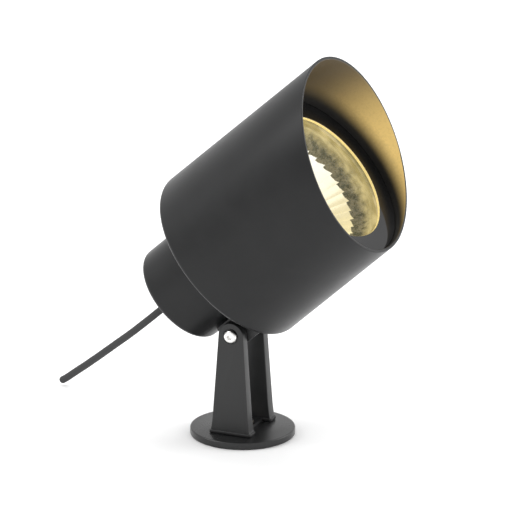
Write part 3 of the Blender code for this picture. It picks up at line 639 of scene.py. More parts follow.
def stitch(
    bm: bmesh.types.BMesh, rings: Sequence[Sequence[bmesh.types.BMVert]], looped: bool = False,
) -> None:
    """Joins rings of points, each to the next, and turns every face outwards.

    Args:
        bm: the mesh that holds the points.
        rings: the rings, all of one length.
        looped: whether the last ring is joined to the first.
    """
    for low, high in zip(rings, [*rings[1:], *(rings[:1] if looped else [])]):
        for i in range(len(low)):
            j = (i + 1) % len(low)
            face = list(dict.fromkeys((low[i], low[j], high[j], high[i])))
            if len(face) > 2:
                bm.faces.new(face)
    bmesh.ops.recalc_face_normals(bm, faces=bm.faces)


def lathe(profile: Profile, segments: int = 128) -> bmesh.types.BMesh:
    """Turns a profile about Z.

    Args:
        profile: (radius, height) points, closed into a ring unless its ends are on the axis.
        segments: how many facets go round.

    Returns:
        The turned mesh.
    """
    bm = bmesh.new()
    rings = []
    for radius, height in profile:
        if radius < ON_AXIS:
            rings.append([bm.verts.new((0, 0, height))] * segments)
            continue
        around = polygon(radius, segments)
        rings.append([bm.verts.new((x, y, height)) for x, y in around])
    stitch(bm, rings, looped=max(profile[0][0], profile[-1][0]) > ON_AXIS)
    return bm


def slab(outline: Profile, low: float, high: float) -> bmesh.types.BMesh:
    """Extrudes an outline along Z.

    Args:
        outline: the (x, y) outline.
        low, high: where it starts and ends.

    Returns:
        The extruded mesh.
    """
    bm = bmesh.new()
    under = [bm.verts.new((x, y, low)) for x, y in outline]
    over = [bm.verts.new((x, y, high)) for x, y in outline]
    bm.faces.new(under[::-1])
    bm.faces.new(over)
    stitch(bm, (under, over))
    return bm


def polygon(radius: float, sides: int, turn: float = 0.0) -> Profile:
    """The corners of a regular polygon."""
    angles = [turn + 2 * math.pi * i / sides for i in range(sides)]
    return [(radius * math.cos(a), radius * math.sin(a)) for a in angles]


def lobed(radius: float, lobes: int, depth: float = 0.15, points: int = 12) -> Profile:
    """A round outline with lobes.

    Args:
        radius: its size at the tips.
        lobes: how many there are.
        depth: how far it swings either side of its middle, as a share of that.
        points: how many points each lobe gets.

    Returns:
        The outline.
    """
    made = []
    for i in range(lobes * points):
        turn = 2 * math.pi * i / (lobes * points)
        out = radius / (1 + depth) * (1 + depth * math.cos(lobes * turn))
        made.append((out * math.cos(turn), out * math.sin(turn)))
    return made


def loose(name: str, bm: bmesh.types.BMesh, place: Matrix | None = None) -> bpy.types.Object:
    """An object from a mesh, not yet a piece of the lamp.

    Args:
        name: the object's name.
        bm: its mesh, which is used up.
        place: where it stands.

    Returns:
        The object.
    """
    mesh = bpy.data.meshes.new(name)
    bm.to_mesh(mesh)
    bm.free()
    made = bpy.data.objects.new(name, mesh)
    made.matrix_world = place or Matrix.Identity(4)
    bpy.context.collection.objects.link(made)
    return made


def rounded(
    piece: bpy.types.Object, width: float, segments: int = 3, angle: float = 40.0,
) -> bpy.types.Object:
    """Rounds a piece's sharp edges.

    Args:
        piece: the object.
        width: how wide the rounding is.
        segments: how many facets it has.
        angle: the angle in degrees above which an edge is rounded.

    Returns:
        The piece.
    """
    bevel = piece.modifiers.new("soft_edges", "BEVEL")
    bevel.width = width
    bevel.segments = segments
    bevel.limit_method = "ANGLE"
    bevel.angle_limit = math.radians(angle)
    bevel.harden_normals = False
    return piece


def carved(
    piece: bpy.types.Object, tools: Iterable[tuple[str, bpy.types.Object]],
) -> bpy.types.Object:
    """Joins or cuts a piece with tools, and deletes the tools.

    Args:
        piece: the object to change.
        tools: pairs of a Boolean operation and its object.

    Returns:
        The piece, with all its modifiers applied.
    """
    used = []
    for operation, tool in tools:
        boolean = piece.modifiers.new(tool.name, "BOOLEAN")
        boolean.operation = operation
        boolean.solver = "EXACT"
        boolean.object = tool
        used.append(tool)
    freeze(piece)
    for tool in used:
        bpy.data.objects.remove(tool, do_unlink=True)
    return piece


def freeze(piece: bpy.types.Object) -> None:
    """Applies a piece's modifiers.

    Args:
        piece: the object.
    """
    bpy.context.view_layer.update()
    graph = bpy.context.evaluated_depsgraph_get()
    mesh = bpy.data.meshes.new_from_object(piece.evaluated_get(graph))
    piece.modifiers.clear()
    piece.data = mesh


def finish_piece(
    piece: bpy.types.Object, body: Body, finish: Finish,
    stands_for: Sequence[str] = (), sharp: float = 32.0,
) -> bpy.types.Object:
    """Shades and dresses a piece, and ties it to its body.

    Args:
        piece: the object.
        body: the body that it rides on.
        finish: what its surface is made of.
        stands_for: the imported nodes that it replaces.
        sharp: the angle in degrees above which an edge stays crisp.

    Returns:
        The piece.
    """
    freeze(piece)
    piece.data.shade_smooth()
    piece.data.set_sharp_from_angle(angle=math.radians(sharp))
    if piece.data.materials:
        piece.data.materials[0] = finish.material()
    else:
        piece.data.materials.append(finish.material())
    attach(piece, body.value)
    if stands_for:
        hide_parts(*stands_for)
    LOG.info("%s rides on %s, %d faces", piece.name, body.value, len(piece.data.polygons))
    return piece


def middle(node: str) -> Vector:
    """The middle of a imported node's box."""
    low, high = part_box(node)
    return (Vector(low) + Vector(high)) / 2


def joint_place(name: str) -> Vector:
    """A point on a packed joint's axis."""
    joints = frame["record"]["behaviour"]["joints"]
    return Vector(next(joint["pos_m"] for joint in joints if joint["name"] == name))


def head_place(board_height: float) -> Matrix:
    """The lamp's own axes at rest: the origin on its centre line at the housing's rear face.

    Args:
        board_height: how far the light board's middle is in front of that face.

    Returns:
        The place as a matrix.
    """
    board = middle("led_board")
    ahead = (middle("front_lens") - board).normalized()
    side = Vector((0.0, 1.0, 0.0))
    down = side.cross(ahead)
    origin = board - ahead * board_height
    place = Matrix((down, side, ahead)).transposed().to_4x4()
    place.translation = origin
    return place


def bolt_place(side: int) -> Matrix:
    """Axes on the tilt bolt, whose Z runs out towards -Y (side -1) or +Y (side 1)."""
    turn = Matrix.Rotation(-side * QUARTER, 4, "X")
    return Matrix.Translation(joint_place("tilt")) @ turn


@dataclass
class ButtonScrew:
    """A button-head screw with a six-lobed socket."""

    name: str
    end: float
    seat: float
    head_radius: float = 4.75 * MM
    head_height: float = 2.75 * MM
    head_edge: float = 0.15 * MM
    radius: float = 2.5 * MM
    relief: float = 0.4 * MM
    socket: float = 2.2 * MM
    dome_steps: int = 10

    def build(self, place: Matrix) -> bpy.types.Object:
        """Models the screw along the Z of its place.

        Args:
            place: where its axis is.

        Returns:
            The screw as a loose object.
        """
        rim = self.seat + self.head_height * 0.24
        top = self.seat + self.head_height
        lead = self.radius * 0.2
        profile = [(0, self.end), (self.radius - lead, self.end), (self.radius, self.end + lead)]
        profile += self._thread(self.end + lead, self.seat - self.relief)
        profile += [(self.radius, self.seat), (self.head_radius - self.head_edge, self.seat)]
        profile += [(self.head_radius, self.seat + self.head_edge), (self.head_radius, rim)]
        for i in range(1, self.dome_steps + 1):
            turn = QUARTER * i / self.dome_steps
            out = self.head_radius * (1 - 0.42 * (1 - math.cos(turn)))
            profile.append((out, rim + (top - rim) * math.sin(turn)))
        profile.append((0, top))
        screw = loose(self.name, lathe(profile, 48), place)
        depth = self.head_height * 0.62
        tool = loose(self.name + "_key", slab(lobed(self.socket, 6), top - depth, top + MM), place)
        return carved(screw, [("DIFFERENCE", tool)])

    def _thread(self, low: float, high: float) -> Profile:
        """Shallow grooves for the thread.

        Args:
            low, high: where the thread starts and ends.

        Returns:
            The grooves' points.
        """
        pitch = self.radius * 0.32
        depth = self.radius * 0.10
        turns = max(0, int((high - low) / pitch))
        made: Profile = []
        for i in range(turns):
            base = low + i * pitch
            made += [(self.radius, base + pitch * 0.35), (self.radius - depth, base + pitch * 0.7)]
        return made


@dataclass
class Foot:
    """The round foot and the screw that the fork swivels under."""

    radius: float = 35.5 * MM
    thick: float = 5.0 * MM
    edge: float = 1.0 * MM
    flat_radius: float = 30.53 * MM
    fillet: float = 0.6 * MM
    spigot: float = 5.0 * MM
    spigot_top: float = 7.3 * MM
    thread: float = 2.8 * MM
    thread_floor: float = 1.4 * MM
    stake_hole: float = 1.65 * MM
    stake_circle: float = 25.0 * MM
    stake_depth: float = 3.2 * MM
    washer_low: float = 7.9 * MM
    washer_thick: float = 1.0 * MM
    washer_radius: float = 7.5 * MM
    washer_edge: float = 0.2 * MM
    screw_end: float = 1.7 * MM
    gap: float = 0.3 * MM

    def build(self) -> None:
        """Models and dresses the disc, the washer and the screw."""
        profile: Profile = [(0, 0), (self.flat_radius, 0)]
        profile += corner((self.radius - self.edge, self.edge), self.edge, -90, 0)
        profile += corner((self.radius - self.edge, self.thick - self.edge), self.edge, 0, 90)
        foot = (self.spigot + self.fillet, self.thick + self.fillet)
        profile += [(foot[0], self.thick)]
        profile += corner(foot, self.fillet, 270, 180, 3)[1:]
        profile += [(self.spigot, self.spigot_top), (self.thread, self.spigot_top)]
        profile += [(self.thread, self.thread_floor), (0, self.thread_floor)]
        disc = loose("foot_disc", lathe(profile, 160))
        tools = []
        bore = rod_outline(self.stake_hole, -MM, self.stake_depth)
        for x, y in polygon(self.stake_circle, 3, QUARTER):
            place = Matrix.Translation((x, y, 0))
            tools.append(("DIFFERENCE", loose("stake_bore", lathe(bore, 32), place)))
        carved(disc, tools)
        finish_piece(disc, Body.BASE, CHARCOAL_DISC, ["base_disc"])
        washer_high = self.washer_low + self.washer_thick
        ring = ring_outline(self.thread, self.washer_radius, self.washer_low, washer_high)
        washer = loose("swivel_washer", lathe(softened(ring, self.washer_edge), 64))
        finish_piece(washer, Body.BASE, STEEL, ["pan_washer"])
        screw = ButtonScrew("swivel_screw", self.screw_end, washer_high + self.gap)
        finish_piece(screw.build(Matrix.Identity(4)), Body.BASE, STEEL, ["pan_screw"])


@dataclass
class Fork:
    """The cast fork: a foot plate and two tapered legs with round ears, and its tilt bolt."""

    gap: float = 26.6 * MM
    plate_low: float = 5.3 * MM
    plate_high: float = 7.6 * MM
    pad_reach: float = 0.8 * MM
    pad_corner: float = 2.0 * MM
    pad_edge: float = 0.5 * MM
    bridge_half: float = 9.0 * MM
    bridge_corner: float = 0.5 * MM
    foot_half: float = 13.7 * MM
    foot_thick: float = 8.2 * MM
    ear_thick: float = 7.0 * MM
    ear_radius: float = 9.0 * MM
    edge: float = 2.0 * MM
    flare_out: float = 0.8 * MM
    flare_height: float = 11.0 * MM
    flare_steps: int = 8
    leg_sink: float = 0.4 * MM
    swivel_bore: float = 5.3 * MM
    bolt_bore: float = 2.8 * MM
    recess: float = 0.9 * MM
    recess_radius: float = 5.35 * MM
    washer_radius: float = 5.0 * MM
    washer_thick: float = 1.0 * MM
    washer_edge: float = 0.2 * MM
    nut_radius: float = 4.62 * MM
    nut_height: float = 4.0 * MM
    nut_edge: float = 0.35 * MM
    collar_radius: float = 3.8 * MM
    collar_rise: float = 1.2 * MM
    collar_edge: float = 0.4 * MM
    bolt_beyond: float = 1.5 * MM
    clearance: float = 0.3 * MM

    def hinge(self) -> float:
        """The height of the tilt axis."""
        return joint_place("tilt").z

    def outline(self) -> Profile:
        """One leg's outline, flared at its foot and tangent to its round ear.

        Returns:
            The (x, z) points.
        """
        low = self.plate_low + self.leg_sink
        height = self.hinge() - low
        far = math.hypot(self.foot_half, height)
        tangent = math.atan2(-height, self.foot_half) + math.acos(self.ear_radius / far)
        touch_x = self.ear_radius * math.cos(tangent)
        touch_z = self.hinge() + self.ear_radius * math.sin(tangent)
        slope = (self.foot_half - touch_x) / (touch_z - low)
        side: Profile = []
        for i in range(self.flare_steps + 1):
            turn = QUARTER * i / self.flare_steps
            z = self.plate_high + self.flare_height * (1 - math.cos(turn))
            flare = self.flare_out * (1 - math.sin(turn))
            side.append((self.foot_half - slope * (z - low) + flare, z))
        side.insert(0, (side[0][0], low))
        start = math.degrees(tangent)
        ear = corner((0, self.hinge()), self.ear_radius, start, 180 - start, 40)
        return side + ear + [(-x, z) for x, z in reversed(side)]

    def leg(self, side: int) -> bpy.types.Object:
        """One leg, thinner towards its ear.

        Args:
            side: -1 for the -Y leg, 1 for the other.

        Returns:
            The leg as a loose object.
        """
        bm = bmesh.new()
        rise = self.hinge() - self.plate_high
        inner, outer = [], []
        for x, z in self.outline():
            share = (z - self.plate_high) / rise
            thick = self.foot_thick + (self.ear_thick - self.foot_thick) * share
            inner.append(bm.verts.new((x, side * self.gap / 2, z)))
            outer.append(bm.verts.new((x, side * (self.gap / 2 + thick), z)))
        bm.faces.new(inner)
        bm.faces.new(outer)
        stitch(bm, (inner, outer))
        return rounded(loose("leg", bm), self.edge, 5)

    def plate(
        self, half_x: float, low_y: float, high_y: float, round_off: float,
    ) -> bmesh.types.BMesh:
        """One flat of the fork's foot, between two heights and with round corners."""
        outline = [(half_x, high_y), (-half_x, high_y), (-half_x, low_y), (half_x, low_y)]
        return slab(softened(outline, round_off, 8), self.plate_low, self.plate_high)

    def build(self) -> None:
        """Models and dresses the fork, the bolt, its washer and its nut."""
        inner = self.gap / 2 - self.pad_reach
        bridge = self.plate(self.bridge_half, -inner - MM, inner + MM, self.bridge_corner)
        fork = loose("cast_fork", bridge)
        outer = self.gap / 2 + self.foot_thick + self.pad_reach
        half_x = self.foot_half + self.flare_out + self.pad_reach
        pads = [loose("pad", self.plate(half_x, low, high, self.pad_corner)) for low, high in (
            (-outer, -inner), (inner, outer),
        )]
        reach = 2 * outer
        floor = self.gap / 2 + self.ear_thick - self.recess
        hole = lathe(rod_outline(self.bolt_bore, -reach, reach), 48)
        pocket = lathe(rod_outline(self.recess_radius, floor, reach), 64)
        swivel = lathe(rod_outline(self.swivel_bore, 0, 2 * self.plate_high), 64)
        carved(fork, [("UNION", rounded(pad, self.pad_edge, 3)) for pad in pads] + [
            ("UNION", self.leg(-1)), ("UNION", self.leg(1)),
            ("DIFFERENCE", loose("swivel_hole", swivel)),
            ("DIFFERENCE", loose("bolt_hole", hole, bolt_place(-1))),
            ("DIFFERENCE", loose("bolt_pocket", pocket, bolt_place(-1))),
        ])
        finish_piece(fork, Body.FORK, CHARCOAL_FORK, ["fork_bracket"])
        self.build_bolt()

    def build_bolt(self) -> None:
        """Models and dresses the bolt, its washer and its locking nut."""
        ear = self.gap / 2 + self.ear_thick
        washer_low = ear + self.clearance
        washer_high = washer_low + self.washer_thick
        nut_low = washer_high + self.clearance
        nut_high = nut_low + self.nut_height
        collar = nut_high + self.collar_rise
        seat = ear - self.recess + self.clearance
        bolt = ButtonScrew("tilt_screw", -(collar + self.bolt_beyond), seat)
        finish_piece(bolt.build(bolt_place(-1)), Body.FORK, BOLT_STEEL, ["tilt_bolt"])
        ring = ring_outline(self.bolt_bore, self.washer_radius, washer_low, washer_high)
        washer = loose("bolt_washer", lathe(softened(ring, self.washer_edge), 64), bolt_place(1))
        finish_piece(washer, Body.FORK, STEEL, ["tilt_nut_washer"])
        hexagon = slab(polygon(self.nut_radius, 6), nut_low, nut_high)
        nut = loose("lock_nut", hexagon, bolt_place(1))
        rounded(nut, self.nut_edge, 3, 50)
        top = [(0, nut_high - MM), (self.collar_radius, nut_high - MM)]
        top += [(self.collar_radius, collar - self.collar_edge)]
        top += [(self.collar_radius - self.collar_edge, collar), (0, collar)]
        bore = rod_outline(self.bolt_bore, 0, 2 * collar)
        carved(nut, [
            ("UNION", loose("nut_collar", lathe(top, 48), bolt_place(1))),
            ("DIFFERENCE", loose("nut_bore", lathe(bore, 48), bolt_place(1))),
        ])
        finish_piece(nut, Body.FORK, STEEL, ["tilt_nut"])


@dataclass
class Housing:
    """The lamp housing and its sloping hood, the neck behind it and the lug under it."""

    radius: float = 64.5 * MM
    wall: float = 2.0 * MM
    back_wall: float = 3.0 * MM
    back_hole: float = 24.0 * MM
    edge: float = 3.2 * MM
    rim: float = 0.55 * MM
    mean_length: float = 125.0 * MM
    slope: float = 0.35
    glow_from: float = 98.0 * MM
    neck_radius: float = 35.5 * MM
    neck_length: float = 48.8 * MM
    neck_wall: float = 2.5 * MM
    neck_edge: float = 3.4 * MM
    neck_ring: float = 26.5 * MM
    neck_ring_depth: float = 8.3 * MM
    gland_hole: float = 6.3 * MM
    gap: float = 0.3 * MM
    lug_radius: float = 10.0 * MM
    lug_half: float = 11.9 * MM
    lug_edge: float = 0.8 * MM
    lug_bore: float = 2.8 * MM
    bore_half: float = 60.0 * MM
    saddle_depth: float = 6.0 * MM
    saddle_back: float = 80.0 * MM
    saddle_front: float = 20.0 * MM
    hinge_drop: float = 43.7 * MM
    hinge_back: float = 26.1 * MM

    def build(self, place: Matrix) -> None:
        """Models and dresses the housing, the neck and the lug.

        Args:
            place: the lamp's own axes.
        """
        self.build_shell(place)
        self.build_neck(place)
        self.build_lug(place)

    def build_shell(self, place: Matrix) -> None:
        """The drawn shell, cut at a slope, with its rim and rear edge rounded.

        Args:
            place: the lamp's own axes.
        """
        beyond = self.mean_length + (self.slope + 0.1) * self.radius
        bore = self.radius - self.wall
        profile: Profile = [(self.back_hole, 0)]
        profile += corner((self.radius - self.edge, self.edge), self.edge, -90, 0, 8)
        profile += [(self.radius, beyond * share) for share in (0.2, 0.35, 0.5)]
        profile += [(self.radius, beyond), (bore, beyond), (bore, self.glow_from)]
        profile += [(bore, self.back_wall), (self.back_hole, self.back_wall)]
        bm = lathe(profile, 192)
        plane = Vector((self.slope, 0, 1)).normalized()
        everything = bm.verts[:] + bm.edges[:] + bm.faces[:]
        bmesh.ops.bisect_plane(
            bm, geom=everything, plane_co=(0, 0, self.mean_length), plane_no=plane,
            clear_outer=True,
        )
        mouth = [edge for edge in bm.edges if edge.is_boundary]
        bmesh.ops.bridge_loops(bm, edges=mouth)
        bmesh.ops.recalc_face_normals(bm, faces=bm.faces)
        shell = rounded(loose("lamp_shell", bm, place), self.rim, 4, 60)
        freeze(shell)
        shell.data.materials.append(CHARCOAL.material())
        shell.data.materials.append(HOOD_PAINTED_GLOW.material())
        # Inward faces past the back wall get the hood's painted lamp light; the outside keeps the
        # plain coat.
        for face in shell.data.polygons:
            out, facing = face.center.xy, face.normal.xy
            inwards = facing.dot(out) < -0.5 * out.length
            face.material_index = int(inwards and face.center.z > self.back_wall + MM)
        finish_piece(shell, Body.HEAD, CHARCOAL, ["lamp_housing"])

    def build_neck(self, place: Matrix) -> None:
        """The cup behind the housing.

        Args:
            place: the lamp's own axes.
        """
        bore = self.neck_radius - self.neck_wall
        back = -self.neck_length
        profile: Profile = [(self.gland_hole, back)]
        turned = (self.neck_radius - self.neck_edge, back + self.neck_edge)
        profile += corner(turned, self.neck_edge, -90, 0, 8)
        profile += [(self.neck_radius, -self.gap), (self.neck_ring, -self.gap)]
        profile += [(self.neck_ring, -self.neck_ring_depth), (bore, -self.neck_ring_depth)]
        profile += [(bore, back + self.back_wall), (self.gland_hole, back + self.back_wall)]
        neck = loose("neck_cup", lathe(profile, 128), place)
        finish_piece(neck, Body.HEAD, CHARCOAL, ["neck_housing"])

    def build_lug(self, place: Matrix) -> None:
        """The lug between the ears, saddled to the neck.

        Args:
            place: the lamp's own axes.
        """
        front = -self.gap
        centre = (self.hinge_drop, -self.hinge_back)
        top = self.neck_radius - self.saddle_depth
        outline = [(top, front), (centre[0] + self.lug_radius, front)]
        outline += corner(centre, self.lug_radius, 0, -90, 24)
        outline.append((top, centre[1] - self.lug_radius))
        tip = place @ Matrix.Rotation(QUARTER, 4, "X")
        block = slab(outline, -self.lug_half, self.lug_half)
        lug = rounded(loose("tilt_knuckle", block, tip), self.lug_edge, 4)
        cup = rod_outline(self.neck_radius + self.gap, -self.saddle_back, self.saddle_front)
        bore = rod_outline(self.lug_bore, -self.bore_half, self.bore_half)
        carved(lug, [
            ("DIFFERENCE", loose("saddle", lathe(cup, 160), place)),
            ("DIFFERENCE", loose("knuckle_bore", lathe(bore, 48), bolt_place(-1))),
        ])
        finish_piece(lug, Body.HEAD, CHARCOAL_FORK, ["tilt_lug"])


@dataclass
class Optics:
    """The bezel, the lens, the reflector and the light source."""

    inside: float = 62.2 * MM
    bezel_front: float = 98.0 * MM
    bezel_thick: float = 2.1 * MM
    bezel_bore: float = 47.8 * MM
    bezel_edge: float = 0.45 * MM
    lit_depth: float = 0.12 * MM
    lens_radius: float = 61.0 * MM
    lens_front: float = 95.6 * MM
    lens_thick: float = 4.0 * MM
    lens_edge: float = 0.4 * MM
    gasket_front: float = 91.3 * MM
    gasket_thick: float = 1.7 * MM
    gasket_bore: float = 53.5 * MM
    gasket_edge: float = 0.4 * MM
    rim_front: float = 89.3 * MM
    rim_back: float = 88.3 * MM
    rim_radius: float = 59.8 * MM
    mouth: float = 50.0 * MM
    throat: float = 16.0 * MM
    focus: float = 14.0 * MM
    petals: int = 36
    petal_facets: int = 6
    petal_crown: float = 0.45 * MM
    bowl_rows: int = 22
    bowl_wall: float = 1.0 * MM
    bright_radius: float = 43.0 * MM
    band_radius: float = 49.0 * MM
    lamp_radius: float = 9.0 * MM
    lamp_back: float = 42.2 * MM
    lamp_dome: float = 2.4 * MM
    lamp_foot: float = 0.5 * MM
    dome_steps: int = 12

    def build(self, place: Matrix) -> None:
        """Models and dresses the optics.

        Args:
            place: the lamp's own axes.
        """
        self.build_bezel(place)
        back, edge = self.lens_front - self.lens_thick, self.lens_edge
        glass = [(0, back), (self.lens_radius - edge, back), (self.lens_radius, back + edge)]
        glass += [(self.lens_radius, self.lens_front - edge)]
        glass += [(self.lens_radius - edge, self.lens_front), (0, self.lens_front)]
        lens = loose("lens", lathe(glass, 128), place)
        finish_piece(lens, Body.HEAD, LENS_GLASS, ["front_lens"])
        low = self.gasket_front - self.gasket_thick
        ring = ring_outline(self.gasket_bore, self.rim_radius, low, self.gasket_front)
        gasket = loose("lens_seal", lathe(softened(ring, self.gasket_edge), 128), place)
        finish_piece(gasket, Body.HEAD, PAINTED_LIT_SILICONE, ["lens_gasket"])
        self.build_reflector(place)
        dome: Profile = [(0, self.lamp_back), (self.lamp_radius, self.lamp_back)]
        rim = self.lamp_back + self.lamp_foot
        for i in range(self.dome_steps):
            turn = QUARTER * i / self.dome_steps
            dome.append((self.lamp_radius * math.cos(turn), rim + self.lamp_dome * math.sin(turn)))
        dome.append((0, rim + self.lamp_dome))
        lamp = loose("lamp_dome", lathe(dome, 64), place)
        finish_piece(lamp, Body.HEAD, LAMP, ["led_emitter"])

    def build_bezel(self, place: Matrix) -> None:
        """The retaining ring, whose bore face has the lamp's light painted on it as emission.

        Args:
            place: the lamp's own axes.
        """
        back = self.bezel_front - self.bezel_thick
        outline = ring_outline(self.bezel_bore, self.inside, back, self.bezel_front)
        bezel = loose("bezel", lathe(softened(outline, self.bezel_edge), 160), place)
        bezel.data.materials.append(BEZEL_BLACK.material())
        bezel.data.materials.append(PAINTED_LIT_EDGE.material())
        # Faces at the bore get the painted lamp light; the rest stays glossy black.
        for face in bezel.data.polygons:
            face.material_index = int(face.center.xy.length < self.bezel_bore + self.lit_depth)
        finish_piece(bezel, Body.HEAD, BEZEL_BLACK, ["bezel_ring"])

    def build_reflector(self, place: Matrix) -> None:
        """A parabolic bowl pressed into petals, each one crowned across its width.

        Args:
            place: the lamp's own axes.
        """
        across, rows, wall = self.petal_facets, self.bowl_rows, self.bowl_wall
        count = self.petals * across
        bm = bmesh.new()
        profile: list[tuple[float, float, float]] = [(self.rim_radius, self.rim_front, 0.0)]
        for i in range(rows + 1):
            radius = self.mouth + (self.throat - self.mouth) * i / rows
            drop = (self.mouth**2 - radius**2) / (4 * self.focus)
            crown = self.petal_crown * min(1.0, i / 2) * radius / self.mouth
            profile.append((radius, self.rim_front - drop, crown))
        outside = [(r + 0.7 * wall, z - 0.7 * wall, 0.0) for r, z, _ in reversed(profile[1:])]
        outside[-1] = (self.mouth + wall, self.rim_back, 0.0)
        profile += outside + [(self.rim_radius, self.rim_back, 0.0)]
        rings = []
        for radius, height, crown in profile:
            ring = []
            for k in range(count):
                share = (k % across) / across
                out = radius + crown * (4 * share * (1 - share) - 0.5)
                turn = 2 * math.pi * k / count
                ring.append(bm.verts.new((out * math.cos(turn), out * math.sin(turn), height)))
            rings.append(ring)
        stitch(bm, rings, looped=True)
        bowl = loose("petal_reflector", bm, place)
        finish = PetalMirrorPaintedGlow("petal_mirror_painted_glow", self.petals, self.bright_radius, self.band_radius)
        finish_piece(bowl, Body.HEAD, finish, ["reflector"], sharp=12.0)


@dataclass
class Gland:
    """The cable gland in the neck's back wall."""

    wall_face: float = -48.8 * MM
    gap: float = 0.3 * MM
    flange_radius: float = 8.6 * MM
    flange_thick: float = 2.6 * MM
    stem_radius: float = 6.0 * MM
    spigot_radius: float = 5.4 * MM
    bore: float = 4.2 * MM
    nut_radius: float = 8.0 * MM
    nut_hex: float = 5.0 * MM
    nut_dome: float = 4.0 * MM
    edge: float = 0.4 * MM
    nut_edge: float = 0.45 * MM
    nose_lip: float = 0.8 * MM
    nose_steps: int = 12
    inner_end: float = -41.9 * MM
    tail: float = 2.6 * MM
    tail_wall: float = 0.6 * MM
    seal_edge: float = 0.3 * MM
    cable: float = 2.5 * MM

    def build(self, place: Matrix) -> None:
        """Models and dresses the body, the dome nut and the rubber seal.

        Args:
            place: the lamp's own axes.
        """
        flange_front = self.wall_face - self.gap
        flange_back = flange_front - self.flange_thick
        nut_front = flange_back - self.gap
        nut_back = nut_front - self.nut_hex - self.nut_dome
        spigot_end = nut_front - self.nut_hex
        hexagon = slab(polygon(self.flange_radius, 6), flange_back, flange_front)
        body = rounded(loose("gland_case", hexagon, place), self.edge, 3, 50)
        step = flange_back + MM
        stem = [(0, spigot_end), (self.spigot_radius, spigot_end), (self.spigot_radius, step)]
        stem += [(self.stem_radius, step), (self.stem_radius, self.inner_end), (0, self.inner_end)]
        hole = rod_outline(self.bore, spigot_end - MM, self.inner_end + MM)
        carved(body, [
            ("UNION", loose("stem", lathe(stem, 48), place)),
            ("DIFFERENCE", loose("stem_bore", lathe(hole, 48), place)),
        ])
        finish_piece(body, Body.HEAD, BLACK_NYLON, ["gland_body"])
        self.build_nut(place, nut_front, nut_back, spigot_end)
        inner = self.cable + self.gap
        outer = self.bore - self.gap
        tip = nut_back - self.tail
        profile = [(inner, tip), (inner + self.tail_wall, tip), (outer, nut_back)]
        profile += [(outer, self.inner_end), (inner, self.inner_end)]
        seal = loose("gland_sleeve", lathe(softened(profile, self.seal_edge), 64), place)
        finish_piece(seal, Body.HEAD, SEAL_RUBBER, ["gland_seal"])

    def build_nut(self, place: Matrix, front: float, back: float, spigot_end: float) -> None:
        """The dome nut: six flats, then a round nose.

        Args:
            place: the lamp's own axes.
            front, back: where the nut starts and ends.
            spigot_end: where the body's spigot ends inside it.
        """
        hex_back = front - self.nut_hex
        flats = slab(polygon(self.nut_radius, 6, math.pi / 6), hex_back, front)
        nut = loose("dome_nut", flats, place)
        rounded(nut, self.nut_edge, 3, 50)
        wide = self.nut_radius * 0.86
        dome: Profile = [(0, hex_back + 0.5 * MM), (wide, hex_back + 0.5 * MM)]
        for i in range(self.nose_steps + 1):
            turn = QUARTER * i / self.nose_steps
            out = wide - (wide - self.bore - self.nose_lip) * (1 - math.cos(turn))
            dome.append((out, hex_back - (hex_back - back) * math.sin(turn)))
        dome.append((0, back))
        wider = self.spigot_radius + self.gap
        thread = rod_outline(wider, spigot_end - self.gap, front + MM)
        mouth = rod_outline(self.bore, back - MM, front)
        carved(nut, [
            ("UNION", loose("nut_nose", lathe(dome, 64), place)),
            ("DIFFERENCE", loose("nut_thread", lathe(thread, 64), place)),
            ("DIFFERENCE", loose("nut_mouth", lathe(mouth, 64), place)),
        ])
        finish_piece(nut, Body.HEAD, BLACK_NYLON, ["gland_nut"])


CABLE_ROUTE = (
    (-0.0577, 0.0000, 0.0817),
    (-0.0625, 0.0003, 0.0773),
    (-0.0672, 0.0014, 0.0730),
    (-0.0720, 0.0032, 0.0687),
    (-0.0773, 0.0055, 0.0640),
    (-0.0832, 0.0083, 0.0588),
    (-0.0895, 0.0113, 0.0534),
    (-0.0960, 0.0143, 0.0480),
    (-0.1026, 0.0173, 0.0425),
    (-0.1092, 0.0203, 0.0370),
    (-0.1158, 0.0234, 0.0315),
    (-0.1224, 0.0265, 0.0261),
    (-0.1290, 0.0296, 0.0207),
    (-0.1356, 0.0327, 0.0155),
    (-0.1422, 0.0357, 0.0102),
    (-0.1475, 0.0381, 0.0060),
    (-0.1520, 0.0402, 0.0029),
)


